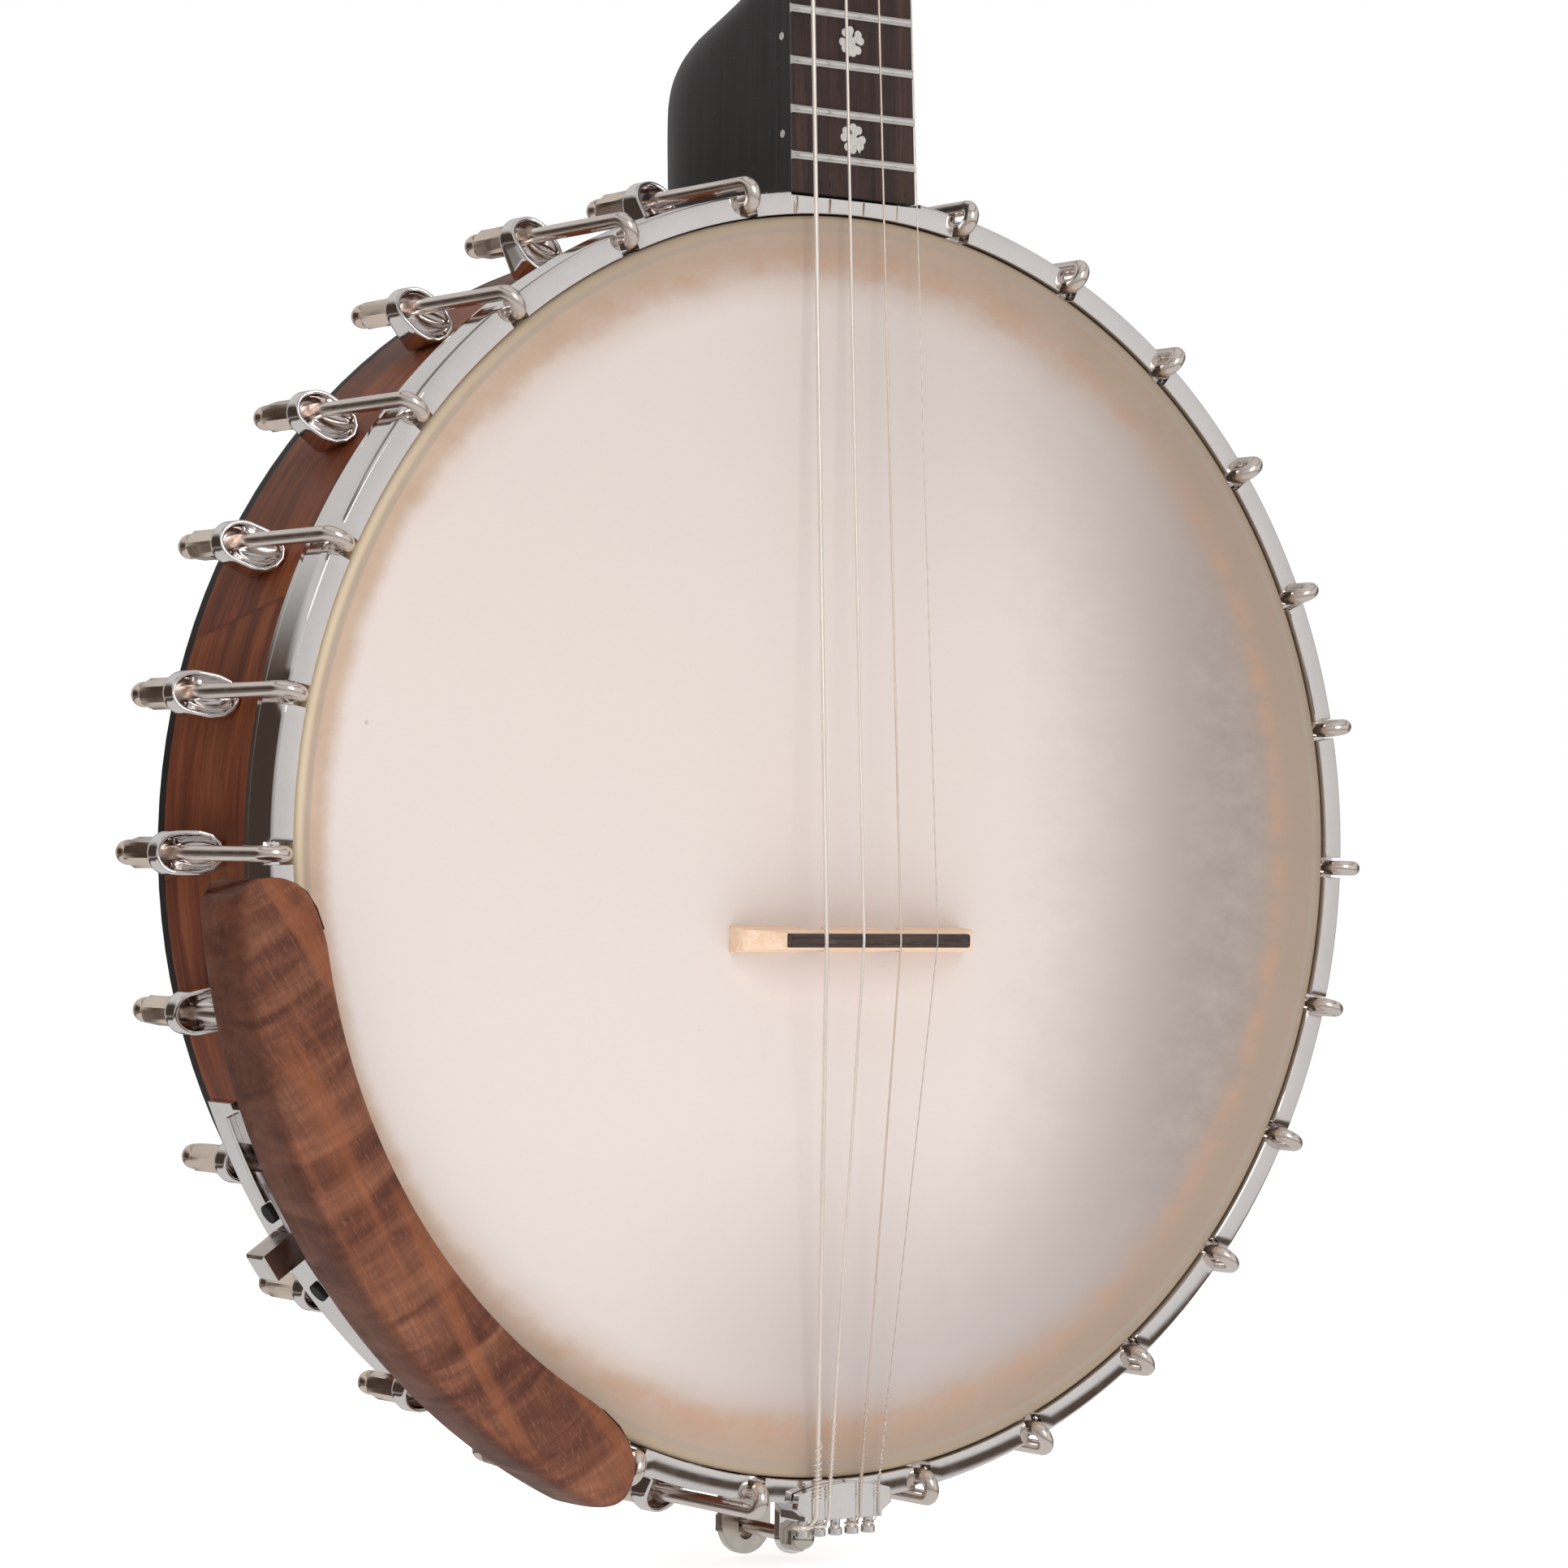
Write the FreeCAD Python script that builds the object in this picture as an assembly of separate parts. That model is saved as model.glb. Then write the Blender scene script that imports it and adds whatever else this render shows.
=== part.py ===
import FreeCAD, Part
import math
import os

os.makedirs("parts", exist_ok=True)
V = FreeCAD.Vector

# Four-string open-back tenor banjo, millimetres.
# Origin: pot axis at the head's playing surface. +X across the pot, +Y to the back, +Z along the neck.

# ---- pot -------------------------------------------------------------------
RIM_R_OUT = 152.9        # wooden rim, outside radius
RIM_R_IN = 141.3
RIM_Y_FRONT = 5.2
RIM_Y_CAP = 64.7         # back of the brown wood, front of the black edge cap
RIM_Y_BACK = 68.7
TONE_R_IN, TONE_R_OUT = 145.4, 153.3     # flat tone ring with rounded edges
TONE_Y0, TONE_Y1 = 0.5, 5.17
HEAD_T = 0.4
HEAD_BEND_IN = 1.0       # inside radius of the head over the edge of the tone ring
HEAD_BEND_R, HEAD_BEND_Y = 152.4, 1.4    # centre of that bend
COLLAR_Y = 9.0
FLESH_R_IN, FLESH_R_OUT = 153.9, 157.6
FLESH_Y0, FLESH_Y1 = 5.3, 9.3
HOOP_R_IN = 154.15       # lip of the tension hoop
HOOP_R_OUT = 159.9
HOOP_SKIRT_IN = 157.9
HOOP_Y0, HOOP_LIP_Y, HOOP_Y1 = -0.5, 5.0, 14.0
NOTCH_W, NOTCH_Y = 5.2, 3.6
N_PER_SIDE = 13
HOOK_FIRST = 11.869      # degrees from the neck to the first bracket on each side
HOOK_STEP = 13.24667
HOOK_WIRE_R = 1.85
HOOK_R = 162.5           # distance of a hook's shaft from the pot axis
HOOK_APEX_Y = -3.55      # wire centre at the top of the bend
HOOK_BEND_R = 2.75
HOOK_TIP_Y = 3.55
HOOK_END_Y = 60.3
NUT_AF, NUT_Y0, NUT_Y1, NUT_DOME_Y = 6.5, 46.55, 61.7, 67.7
SHOE_W, SHOE_Y0, SHOE_Y1 = 10.4, 28.3, 46.5
SHOE_WALL, SHOE_FLOOR_Y = 0.6, 41.4
SHOE_BOLT_Y = 43.95

# ---- neck ------------------------------------------------------------------
NECK_TILT = 2.85         # degrees, the board leans back towards the nut
BOARD_END_Z = 158.6
BOARD_END_Y = 0.60       # board surface at its lower end
SCALE_LEN = 571.5
N_FRETS = 19
BOARD_T = 6.0
BOARD_W0, BOARD_W1 = 37.5, 32.0
FRET19_Z = 9.03          # fret 19 above the board's lower end
FRET_H, FRET_W = 1.0, 2.2
PEG_TILT = 14.0          # headstock angle
PEG_T, VENEER_T = 14.0, 1.6
TRUSS_Y = 12.8
NECK_STEEL_Y = (26.0, 50.0)   # heights of the two bolts that hold the neck on

# ---- strings, bridge ---------------------------------------------------------
STRING_R = (0.55, 0.38, 0.26, 0.15)
BRIDGE_Z = -22.83
BRIDGE_X = (-16.63, -5.54, 5.54, 16.63)
BRIDGE_Y = -15.15        # string centres over the bridge
NUT_X = (-12.3, -4.1, 4.1, 12.3)
TAIL_X = (-9.4, -5.6, 3.6, 9.0)
POST_X = (-12.2, -7.3, -2.4, 2.5, 7.4)
TUNER_XS = ((-17.0, 36.0), (-15.0, 78.0), (15.0, 78.0), (17.0, 36.0))


def export(name, shape):
    if isinstance(shape, (list, tuple)):
        shape = Part.makeCompound(list(shape))
    shape.exportStep("parts/%s.step" % name)
    print(name, len(shape.Solids), "valid" if shape.isValid() else "INVALID", round(shape.Volume, 1))


def rot_y(shape, deg):
    s = shape.copy()
    s.rotate(V(0, 0, 0), V(0, 1, 0), deg)
    return s


def revolve(pts, a0=0.0, a1=360.0):
    """Turns a (radius, y) outline about the pot axis, from a0 to a1 degrees measured from +Z towards +X."""
    w = Part.makePolygon([V(0, y, r) for r, y in pts] + [V(0, pts[0][1], pts[0][0])])
    s = Part.Face(w).revolve(V(0, 0, 0), V(0, 1, 0), a1 - a0)
    return rot_y(s, a0)


def box(x0, x1, y0, y1, z0, z1):
    return Part.makeBox(x1 - x0, y1 - y0, z1 - z0, V(x0, y0, z0))


def cyl(p, d, r, length):
    return Part.makeCylinder(r, length, V(*p), V(*d))


def hexbar(p, axis, af, length):
    """Hexagonal bar of width af across flats from p along axis ('y', 'z' or 'x')."""
    r = af / math.sqrt(3)
    pts = []
    for i in range(7):
        a = math.radians(60 * i + 30)
        u, v = r * math.cos(a), r * math.sin(a)
        pts.append(V(u, 0, v) if axis == "y" else V(u, v, 0) if axis == "z" else V(0, u, v))
    d = V(0, length, 0) if axis == "y" else V(0, 0, length) if axis == "z" else V(length, 0, 0)
    s = Part.Face(Part.makePolygon(pts)).extrude(d)
    s.translate(V(*p))
    return s


def tube_path(pts, r):
    """Straight round bars joined by balls along a list of points."""
    bars, balls = [], []
    for i in range(len(pts) - 1):
        a, b = V(*pts[i]), V(*pts[i + 1])
        d = b - a
        bars.append(Part.makeCylinder(r, d.Length, a, d))
        if i:
            balls.append(Part.makeSphere(r * 1.004, a))
    s = bars[0].multiFuse(bars[1:] + balls)
    return s


HOOKS = []
for k in range(N_PER_SIDE):
    HOOKS.append(HOOK_FIRST + k * HOOK_STEP)
    HOOKS.append(-(HOOK_FIRST + k * HOOK_STEP))

# ============================ wooden rim =====================================
rim = revolve([(RIM_R_IN, RIM_Y_FRONT + 1.5), (RIM_R_IN + 1.5, RIM_Y_FRONT), (RIM_R_OUT, RIM_Y_FRONT),
               (RIM_R_OUT, RIM_Y_CAP), (RIM_R_IN, RIM_Y_CAP)])
cutters = []
for a in HOOKS:
    cutters.append(rot_y(cyl((0, SHOE_BOLT_Y, 135), (0, 0, 1), 2.15, 25), a))
for y in NECK_STEEL_Y:
    cutters.append(cyl((0, y, 135), (0, 0, 1), 3.15, 25))
cutters.append(cyl((0, NECK_STEEL_Y[1], -160), (0, 0, 1), 3.15, 25))
rim = rim.cut(Part.makeCompound(cutters))
export("rim_shell", rim)

cap = revolve([(RIM_R_IN, RIM_Y_CAP + 0.02), (RIM_R_OUT, RIM_Y_CAP + 0.02), (RIM_R_OUT, RIM_Y_BACK - 0.8),
               (RIM_R_OUT - 0.8, RIM_Y_BACK), (RIM_R_IN + 0.8, RIM_Y_BACK), (RIM_R_IN, RIM_Y_BACK - 0.8)])
export("rim_edge_cap", cap)

tone = []
for r, y, rad, a0 in ((TONE_R_OUT, TONE_Y0, 0.9, 0), (TONE_R_OUT, TONE_Y1, 0.9, 90), (TONE_R_IN, TONE_Y1, 0.9, 180), (TONE_R_IN, TONE_Y0, 0.9, 270)):
    cr = r - rad if a0 < 180 else r + rad
    cy = y + rad if y == TONE_Y0 else y - rad
    for k in range(7):
        t = math.radians(a0 - 90 + 15 * k)
        tone.append((cr + rad * math.cos(t), cy + rad * math.sin(t)))
export("tone_ring", revolve(tone))

# ============================ head and its hoop ===============================
hb_in, hb_out = HEAD_BEND_IN, HEAD_BEND_IN + HEAD_T
c45 = math.sqrt(0.5)
e = []
e.append(Part.LineSegment(V(0, 0, 0), V(0, 0, HEAD_BEND_R)))
e.append(Part.Arc(V(0, 0, HEAD_BEND_R), V(0, HEAD_BEND_Y - hb_out * c45, HEAD_BEND_R + hb_out * c45), V(0, HEAD_BEND_Y, HEAD_BEND_R + hb_out)))
e.append(Part.LineSegment(V(0, HEAD_BEND_Y, HEAD_BEND_R + hb_out), V(0, COLLAR_Y, HEAD_BEND_R + hb_out)))
e.append(Part.LineSegment(V(0, COLLAR_Y, HEAD_BEND_R + hb_out), V(0, COLLAR_Y, HEAD_BEND_R + hb_in)))
e.append(Part.LineSegment(V(0, COLLAR_Y, HEAD_BEND_R + hb_in), V(0, HEAD_BEND_Y, HEAD_BEND_R + hb_in)))
e.append(Part.Arc(V(0, HEAD_BEND_Y, HEAD_BEND_R + hb_in), V(0, HEAD_BEND_Y - hb_in * c45, HEAD_BEND_R + hb_in * c45), V(0, HEAD_T, HEAD_BEND_R)))
e.append(Part.LineSegment(V(0, HEAD_T, HEAD_BEND_R), V(0, HEAD_T, 0)))
e.append(Part.LineSegment(V(0, HEAD_T, 0), V(0, 0, 0)))
head = Part.Face(Part.Wire([x.toShape() for x in e])).revolve(V(0, 0, 0), V(0, 1, 0), 360)
export("drum_head", head)

export("flesh_hoop", revolve([(FLESH_R_IN, FLESH_Y0 + 0.4), (FLESH_R_IN + 0.4, FLESH_Y0), (FLESH_R_OUT - 0.4, FLESH_Y0),
                              (FLESH_R_OUT, FLESH_Y0 + 0.4), (FLESH_R_OUT, FLESH_Y1), (FLESH_R_IN, FLESH_Y1)]))

# ============================ tension hoop ====================================
hoop = revolve([(HOOP_R_IN, HOOP_Y0 + 0.25), (HOOP_R_IN + 0.25, HOOP_Y0), (HOOP_R_OUT - 0.8, HOOP_Y0), (HOOP_R_OUT, HOOP_Y0 + 0.8),
                (HOOP_R_OUT, HOOP_Y1 - 3.6), (HOOP_R_OUT - 0.7, HOOP_Y1 - 3.2), (HOOP_R_OUT - 0.7, HOOP_Y1),
                (HOOP_SKIRT_IN, HOOP_Y1), (HOOP_SKIRT_IN, HOOP_LIP_Y), (HOOP_R_IN, HOOP_LIP_Y)])
notches = [rot_y(box(-NOTCH_W / 2, NOTCH_W / 2, HOOP_Y0 - 1, NOTCH_Y, HOOP_R_IN - 1, HOOP_R_OUT + 1), a) for a in HOOKS]
hoop = hoop.cut(Part.makeCompound(notches))
hoop = hoop.cut(box(-BOARD_W0 / 2 - 0.6, BOARD_W0 / 2 + 0.6, HOOP_Y0 - 1, BOARD_END_Y + BOARD_T + 1.1, HOOP_SKIRT_IN - 0.1, 165))
export("tension_hoop", hoop)

# ============================ bracket hooks, nuts, shoes ======================
arc_c = (HOOK_R - HOOK_BEND_R, HOOK_APEX_Y + HOOK_BEND_R)       # (radius, y)
h = cyl((0, arc_c[1], HOOK_R), (0, 1, 0), HOOK_WIRE_R, HOOK_END_Y - arc_c[1])
bend_face = Part.Face(Part.Wire(Part.makeCircle(HOOK_WIRE_R, V(0, arc_c[1], HOOK_R), V(0, 1, 0))))
bend = bend_face.revolve(V(0, arc_c[1], arc_c[0]), V(1, 0, 0), 180)
if bend.BoundBox.YMin > arc_c[1] - 1:
    bend = bend_face.revolve(V(0, arc_c[1], arc_c[0]), V(-1, 0, 0), 180)
tip = cyl((0, arc_c[1], HOOK_R - 2 * HOOK_BEND_R), (0, 1, 0), HOOK_WIRE_R, HOOK_TIP_Y - arc_c[1])
hook = h.fuse(bend).fuse(tip).removeSplitter()
export("bracket_hooks", [rot_y(hook, a) for a in HOOKS])

nut = hexbar((0, NUT_Y0, HOOK_R), "y", NUT_AF, NUT_Y1 - NUT_Y0)
ch = Part.makeCone(NUT_AF / 2 + 0.0, NUT_AF / 2 + 1.2, 1.2 * 0.6, V(0, NUT_Y0, HOOK_R), V(0, 1, 0))
dome_r = 2.95
nut = nut.fuse(cyl((0, NUT_Y1 - 0.5, HOOK_R), (0, 1, 0), dome_r, NUT_DOME_Y - dome_r - NUT_Y1 + 0.5))
nut = nut.fuse(Part.makeSphere(dome_r, V(0, NUT_DOME_Y - dome_r, HOOK_R)))
nut = nut.cut(cyl((0, NUT_Y0 - 1, HOOK_R), (0, 1, 0), HOOK_WIRE_R + 0.05, HOOK_END_Y + 0.4 - NUT_Y0 + 1))
export("bracket_nuts", [rot_y(nut, a) for a in HOOKS])

shoe_r = SHOE_W / 2
shoe_c = HOOK_R - 0.2
shoe = cyl((0, SHOE_Y0, shoe_c), (0, 1, 0), shoe_r, SHOE_Y1 - SHOE_Y0)
shoe = shoe.fuse(box(-shoe_r, shoe_r, SHOE_Y0, SHOE_Y1, RIM_R_OUT - 2, shoe_c))
plan = box(-shoe_r, shoe_r, SHOE_Y0 + shoe_r, SHOE_Y1 + 1, 140, 175).fuse(cyl((0, SHOE_Y0 + shoe_r, 140), (0, 0, 1), shoe_r, 35))
shoe = shoe.common(plan)
# the mouth is an oblique cut, from the foot's front on the rim up to the outside
p = [V(-9, SHOE_Y0 - 20, 154.2), V(-9, SHOE_Y0, 154.2), V(-9, SHOE_Y0 + 17.2, 154.2 + 16.3), V(-9, SHOE_Y0 - 20, 154.2 + 16.3)]
mouth = Part.Face(Part.makePolygon(p + [p[0]])).extrude(V(18, 0, 0))
shoe = shoe.cut(mouth)
shoe_i = shoe_r - SHOE_WALL
shoe = shoe.cut(cyl((0, SHOE_Y0 - 5, shoe_c), (0, 1, 0), shoe_i, SHOE_FLOOR_Y - SHOE_Y0 + 5).fuse(box(-shoe_i, shoe_i, SHOE_Y0 - 5, SHOE_FLOOR_Y, 154.4, shoe_c)))
shoe = shoe.cut(cyl((0, SHOE_FLOOR_Y - 2, HOOK_R), (0, 1, 0), HOOK_WIRE_R + 0.12, 12))
shoe = shoe.cut(cyl((0, 0, 0), (0, 1, 0), RIM_R_OUT + 0.02, 80))
shoe = shoe.cut(cyl((0, SHOE_BOLT_Y, 150), (0, 0, 1), 2.05, 7.2))
shoe = shoe.removeSplitter()
export("bracket_shoes", [rot_y(shoe, a) for a in HOOKS])

bolt = cyl((0, SHOE_BOLT_Y, 138.6), (0, 0, 1), 2.0, 18.2)
bolt = bolt.fuse(hexbar((0, SHOE_BOLT_Y, 137.0), "z", 7.0, 3.0)).fuse(cyl((0, SHOE_BOLT_Y, 139.9), (0, 0, 1), 4.4, 1.1))
export("shoe_bolts", [rot_y(bolt.removeSplitter(), a) for a in HOOKS])

# ============================ neck frame ======================================
P_NECK = FreeCAD.Placement(V(0, BOARD_END_Y, BOARD_END_Z), FreeCAD.Rotation(V(1, 0, 0), -NECK_TILT))
NUT_Z = FRET19_Z + SCALE_LEN * (1 - 2 ** (-N_FRETS / 12.0))
P_PEG = P_NECK.multiply(FreeCAD.Placement(V(0, 4.6, NUT_Z + 5.2), FreeCAD.Rotation(V(1, 0, 0), -PEG_TILT)))


def put(shape, pl):
    s = shape.copy()
    s.Placement = pl.multiply(s.Placement)
    return s


def board_w(z):
    return BOARD_W0 + (BOARD_W1 - BOARD_W0) * z / NUT_Z


fret_z = [NUT_Z - SCALE_LEN * (1 - 2 ** (-n / 12.0)) for n in range(1, N_FRETS + 1)]

# string line in row coordinates and in neck coordinates
nut_pts = [P_NECK.multVec(V(x, -1.0 - 0.65 - r, NUT_Z)) for x, r in zip(NUT_X, STRING_R)]

# ---- fingerboard
board = Part.Face(Part.makePolygon([V(-BOARD_W0 / 2, 0, 0), V(BOARD_W0 / 2, 0, 0), V(BOARD_W1 / 2, 0, NUT_Z - 0.02),
                                    V(-BOARD_W1 / 2, 0, NUT_Z - 0.02), V(-BOARD_W0 / 2, 0, 0)])).extrude(V(0, BOARD_T, 0))
slots = [box(-25, 25, -1, 1.75, z - 0.3, z + 0.3) for z in fret_z]
board = board.cut(Part.makeCompound(slots))


def clover(x, z, turn, y0, y1):
    """Four heart-shaped leaves and a thin curved stem, about 7.7 mm across, turned by turn degrees."""
    parts = []
    for ang in (25, 115, 205, 295):
        a = math.radians(ang + turn)
        d = (math.cos(a), math.sin(a))
        n = (-d[1], d[0])
        for sg in (-1, 1):
            cx, cz = 2.62 * d[0] + sg * 0.84 * n[0], 2.62 * d[1] + sg * 0.84 * n[1]
            parts.append(cyl((x + cx, y0, z + cz), (0, 1, 0), 1.05, y1 - y0))
        tri = [(0, 0), (2.45 * d[0] + 1.72 * n[0], 2.45 * d[1] + 1.72 * n[1]), (2.45 * d[0] - 1.72 * n[0], 2.45 * d[1] - 1.72 * n[1])]
        f = Part.Face(Part.makePolygon([V(x + t[0], y0, z + t[1]) for t in tri + [tri[0]]]))
        parts.append(f.extrude(V(0, y1 - y0, 0)))
    st = [(-0.25, 0.0), (0.25, 0.0), (0.3, -2.0), (0.75, -3.7), (0.2, -3.95), (-0.22, -2.2)]
    a = math.radians(turn - 20)
    st = [(math.cos(a) * u - math.sin(a) * v, math.sin(a) * u + math.cos(a) * v) for u, v in st]
    f = Part.Face(Part.makePolygon([V(x + t[0], y0, z + t[1]) for t in st + [st[0]]]))
    parts.append(f.extrude(V(0, y1 - y0, 0)))
    parts.append(cyl((x, y0, z), (0, 1, 0), 1.15, y1 - y0))
    out = parts[0].multiFuse(parts[1:])
    return out.removeSplitter()


INLAYS = ((3, 0), (5, 45), (7, 0), (10, 45), (12, 0), (15, 45), (17, 0), (19, 45))
inlays, dots = [], []
for n, turn in INLAYS:
    z0 = fret_z[n - 1]
    z1 = fret_z[n - 2] if n > 1 else NUT_Z
    zc = (z0 + z1) / 2
    board = board.cut(clover(0, zc, turn, -0.5, 1.22))
    inlays.append(put(clover(0, zc, turn, 0.0, 1.2), P_NECK))
    board = board.cut(cyl((-board_w(zc) / 2 - 1, 3.6, zc), (1, 0, 0), 1.0, 3.0))
    dots.append(put(cyl((-board_w(zc) / 2 + 0.03, 3.6, zc), (1, 0, 0), 0.97, 1.9), P_NECK))
export("fingerboard", put(board, P_NECK))
export("clover_inlays", inlays)
export("side_dots", dots)

frets = []
for z in fret_z:
    w = board_w(z) / 2
    crown = []
    for i in range(9):
        a = math.pi * i / 8
        crown.append(V(-w, -FRET_H * math.sin(a) ** 0.8 if 0 < i < 8 else -0.01, z - FRET_W / 2 * math.cos(a)))
    f = Part.Face(Part.makePolygon(crown + [crown[0]])).extrude(V(2 * w, 0, 0))
    # bevelled ends
    for sg in (-1, 1):
        t = [V(sg * w, -0.15, z - 3), V(sg * (w - 0.75), -FRET_H - 0.2, z - 3), V(sg * (w + 1), -FRET_H - 0.2, z - 3), V(sg * (w + 1), -0.15, z - 3)]
        f = f.cut(Part.Face(Part.makePolygon(t + [t[0]])).extrude(V(0, 0, 6)))
    f = f.fuse(box(-w + 0.4, w - 0.4, -0.2, 1.6, z - 0.25, z + 0.25))
    frets.append(put(f, P_NECK))
export("frets", frets)

# ---- neck wood: lofted shaft and heel, then the headstock
SECT = [(-8.0, 66.0, 4.2), (2.0, 66.0, 4.2), (12.0, 66.0, 4.2), (21.0, 66.0, 4.2), (30.0, 65.9, 4.1), (36.0, 64.8, 3.9), (41.0, 61.8, 3.55),
        (45.5, 55.6, 3.15), (49.5, 43.8, 2.75), (53.0, 33.8, 2.4), (57.5, 30.2, 2.3), (65.0, 28.4, 2.25), (80.0, 26.9, 2.2), (110.0, 25.9, 2.2),
        (170.0, 25.0, 2.2), (250.0, 23.9, 2.2), (330.0, 22.9, 2.2), (NUT_Z, 22.2, 2.2), (NUT_Z + 10, 22.4, 2.2)]


def section(z, yb, n, w, y0=BOARD_T + 0.02):
    b = yb - y0
    pts = []
    m = 14
    for i in range(m + 1):
        t = math.pi * i / m
        c, s = math.cos(t), math.sin(t)
        x = w / 2 * math.copysign(abs(c) ** (2.0 / n), c)
        y = y0 + b * abs(s) ** (2.0 / n)
        pts.append(V(x, y, z))
    pts[0], pts[-1] = V(w / 2, y0, z), V(-w / 2, y0, z)
    bs = Part.BSplineCurve()
    bs.interpolate(Points=pts, InitialTangent=V(0, 1, 0), FinalTangent=V(0, -1, 0))
    return Part.Wire([bs.toShape(), Part.makeLine(pts[-1], pts[0])])




def smooth(z):
    """Back profile and fullness at height z: monotone cubic through SECT, so the curve never bulges."""
    i = max(j for j in range(len(SECT) - 1) if SECT[j][0] <= z)
    out = []
    for c in (1, 2):
        xs = [q[0] for q in SECT]
        ys = [q[c] for q in SECT]
        sl = [(ys[j + 1] - ys[j]) / (xs[j + 1] - xs[j]) for j in range(len(xs) - 1)]

        def tang(j):
            if j == 0 or j == len(xs) - 1 or sl[j - 1] * sl[j] <= 0:
                return 0.0
            return 2 * sl[j - 1] * sl[j] / (sl[j - 1] + sl[j])
        h_ = xs[i + 1] - xs[i]
        t = (z - xs[i]) / h_
        out.append((2 * t ** 3 - 3 * t ** 2 + 1) * ys[i] + (t ** 3 - 2 * t ** 2 + t) * h_ * tang(i)
                   + (-2 * t ** 3 + 3 * t ** 2) * ys[i + 1] + (t ** 3 - t ** 2) * h_ * tang(i + 1))
    return out


Z_SECT = [-8.0, 4.0, 12.0, 18.0, 23.0, 27.0, 31.0, 34.5, 37.5, 40.0, 42.5, 45.0, 47.5, 50.0, 53.0, 56.5, 61.0, 67.0, 76.0, 92.0, 130.0, NUT_Z, NUT_Z + 9.9]
wires = []
for z in Z_SECT:
    yb, n = smooth(z)
    wires.append(section(z, yb, n, board_w(min(z, NUT_Z))))
neck = put(Part.makeLoft(wires, True, True), P_NECK)
# heel fits round the rim and the tension hoop
neck = neck.cut(cyl((0, -5, 0), (0, 1, 0), RIM_R_OUT + 0.05, 90))
neck = neck.cut(cyl((0, -5, 0), (0, 1, 0), HOOP_R_OUT + 0.6, HOOP_Y1 + 0.9 + 5))


def peg_outline(grow=0.0):
    half = [(0, 15.95), (7, 17.6), (15, 24.0), (24, 29.6), (36, 31.6), (50, 29.8), (62, 28.4), (76, 29.6), (92, 32.6), (104, 32.4), (113, 27.0), (118, 17.5), (115.5, 8.0)]
    right = [V(w + grow, 0, s) for s, w in half]
    left = [V(-q.x, 0, q.z) for q in reversed(right)]
    bs = Part.BSplineCurve()
    bs.interpolate(right + [V(0, 0, 113.0 + grow)] + left)
    return Part.Wire([bs.toShape(), Part.makeLine(left[-1], right[0])])


peg = Part.Face(peg_outline()).extrude(V(0, PEG_T, 0))
peg.translate(V(0, VENEER_T + 0.02, 0))
veneer = Part.Face(peg_outline()).extrude(V(0, VENEER_T, 0))
holes = [cyl((x, -5, s), (0, 1, 0), 4.95, 30) for x, s in TUNER_XS]
peg = peg.cut(Part.makeCompound(holes))
veneer = veneer.cut(Part.makeCompound(holes)).cut(cyl((0, -1, 27.5), (0, 1, 0), 0.95, 3))
# the shaft ends flush under the veneer
neck = neck.cut(put(box(-45, 45, -30, VENEER_T + 0.02, -0.3, 130), P_PEG))
neck = neck.fuse(put(peg, P_PEG))
nut_seat = put(box(-16.05, 16.05, BOARD_T - 8, BOARD_T, NUT_Z - 0.0, NUT_Z + 5.15), P_NECK)
neck = neck.cut(nut_seat)
# truss rod channel and its pocket at the headstock
chan = box(-3.2, 3.2, BOARD_T - 0.5, 17.0, 25.0, NUT_Z - 4)
pocket = box(-4.4, 4.4, -12, TRUSS_Y + 4.3, NUT_Z + 6.2, NUT_Z + 27)
link = cyl((0, TRUSS_Y, NUT_Z - 5), (0, 0, 1), 3.2, 14)
for c in (chan, pocket, link):
    neck = neck.cut(put(c, P_NECK))
veneer_n = put(veneer, P_PEG).cut(put(pocket, P_NECK))
for y in NECK_STEEL_Y:
    neck = neck.cut(cyl((0, y, 140), (0, 0, 1), 3.06, 36.0))
# keep the wood clear of the space in front of the nut
export("neck", neck)
export("headstock_veneer", veneer_n)

truss = box(-3.0, 3.0, 9.0, 16.7, 26.0, NUT_Z - 6).fuse(cyl((0, TRUSS_Y, NUT_Z - 7), (0, 0, 1), 2.6, 18)).fuse(hexbar((0, TRUSS_Y, NUT_Z + 9.6), "z", 7.0, 9.0))
truss = truss.cut(hexbar((0, TRUSS_Y, NUT_Z + 14.6), "z", 4.0, 5.0))
export("truss_rod", put(truss, P_NECK))

cover_pts = [V(-5.6, 0, 1.5), V(-8.4, 0, 9), V(-8.0, 0, 20), V(-3.5, 0, 29), V(0, 0, 32), V(3.5, 0, 29), V(8.0, 0, 20), V(8.4, 0, 9), V(5.6, 0, 1.5)]
cb = Part.BSplineCurve()
cb.interpolate(cover_pts)
cover = Part.Face(Part.Wire([cb.toShape(), Part.makeLine(cover_pts[-1], cover_pts[0])])).extrude(V(0, -1.6, 0))
cover.translate(V(0, -0.02, 0))
for s in (27.5,):
    cover = cover.cut(cyl((0, -3, s), (0, 1, 0), 1.05, 4))
for s in (27.5,):
    cover = cover.cut(Part.makeCone(1.9, 0.9, 1.0, V(0, -1.621, s), V(0, 1, 0)))
export("truss_rod_cover", put(cover, P_PEG))
cscrew = Part.makeCone(1.8, 0.9, 0.95, V(0, -1.62, 27.5), V(0, 1, 0)).fuse(cyl((0, -0.9, 27.5), (0, 1, 0), 0.9, 2.4))
export("truss_cover_screw", put(cscrew, P_PEG))

# ---- string nut
snut = box(-16.0, 16.0, -1.6, BOARD_T - 0.02, NUT_Z + 0.02, NUT_Z + 4.7)
snut = snut.cut(box(-20, 20, -5, 0.0, NUT_Z + 3.6, NUT_Z + 8))
snut = put(snut, P_NECK)

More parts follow.
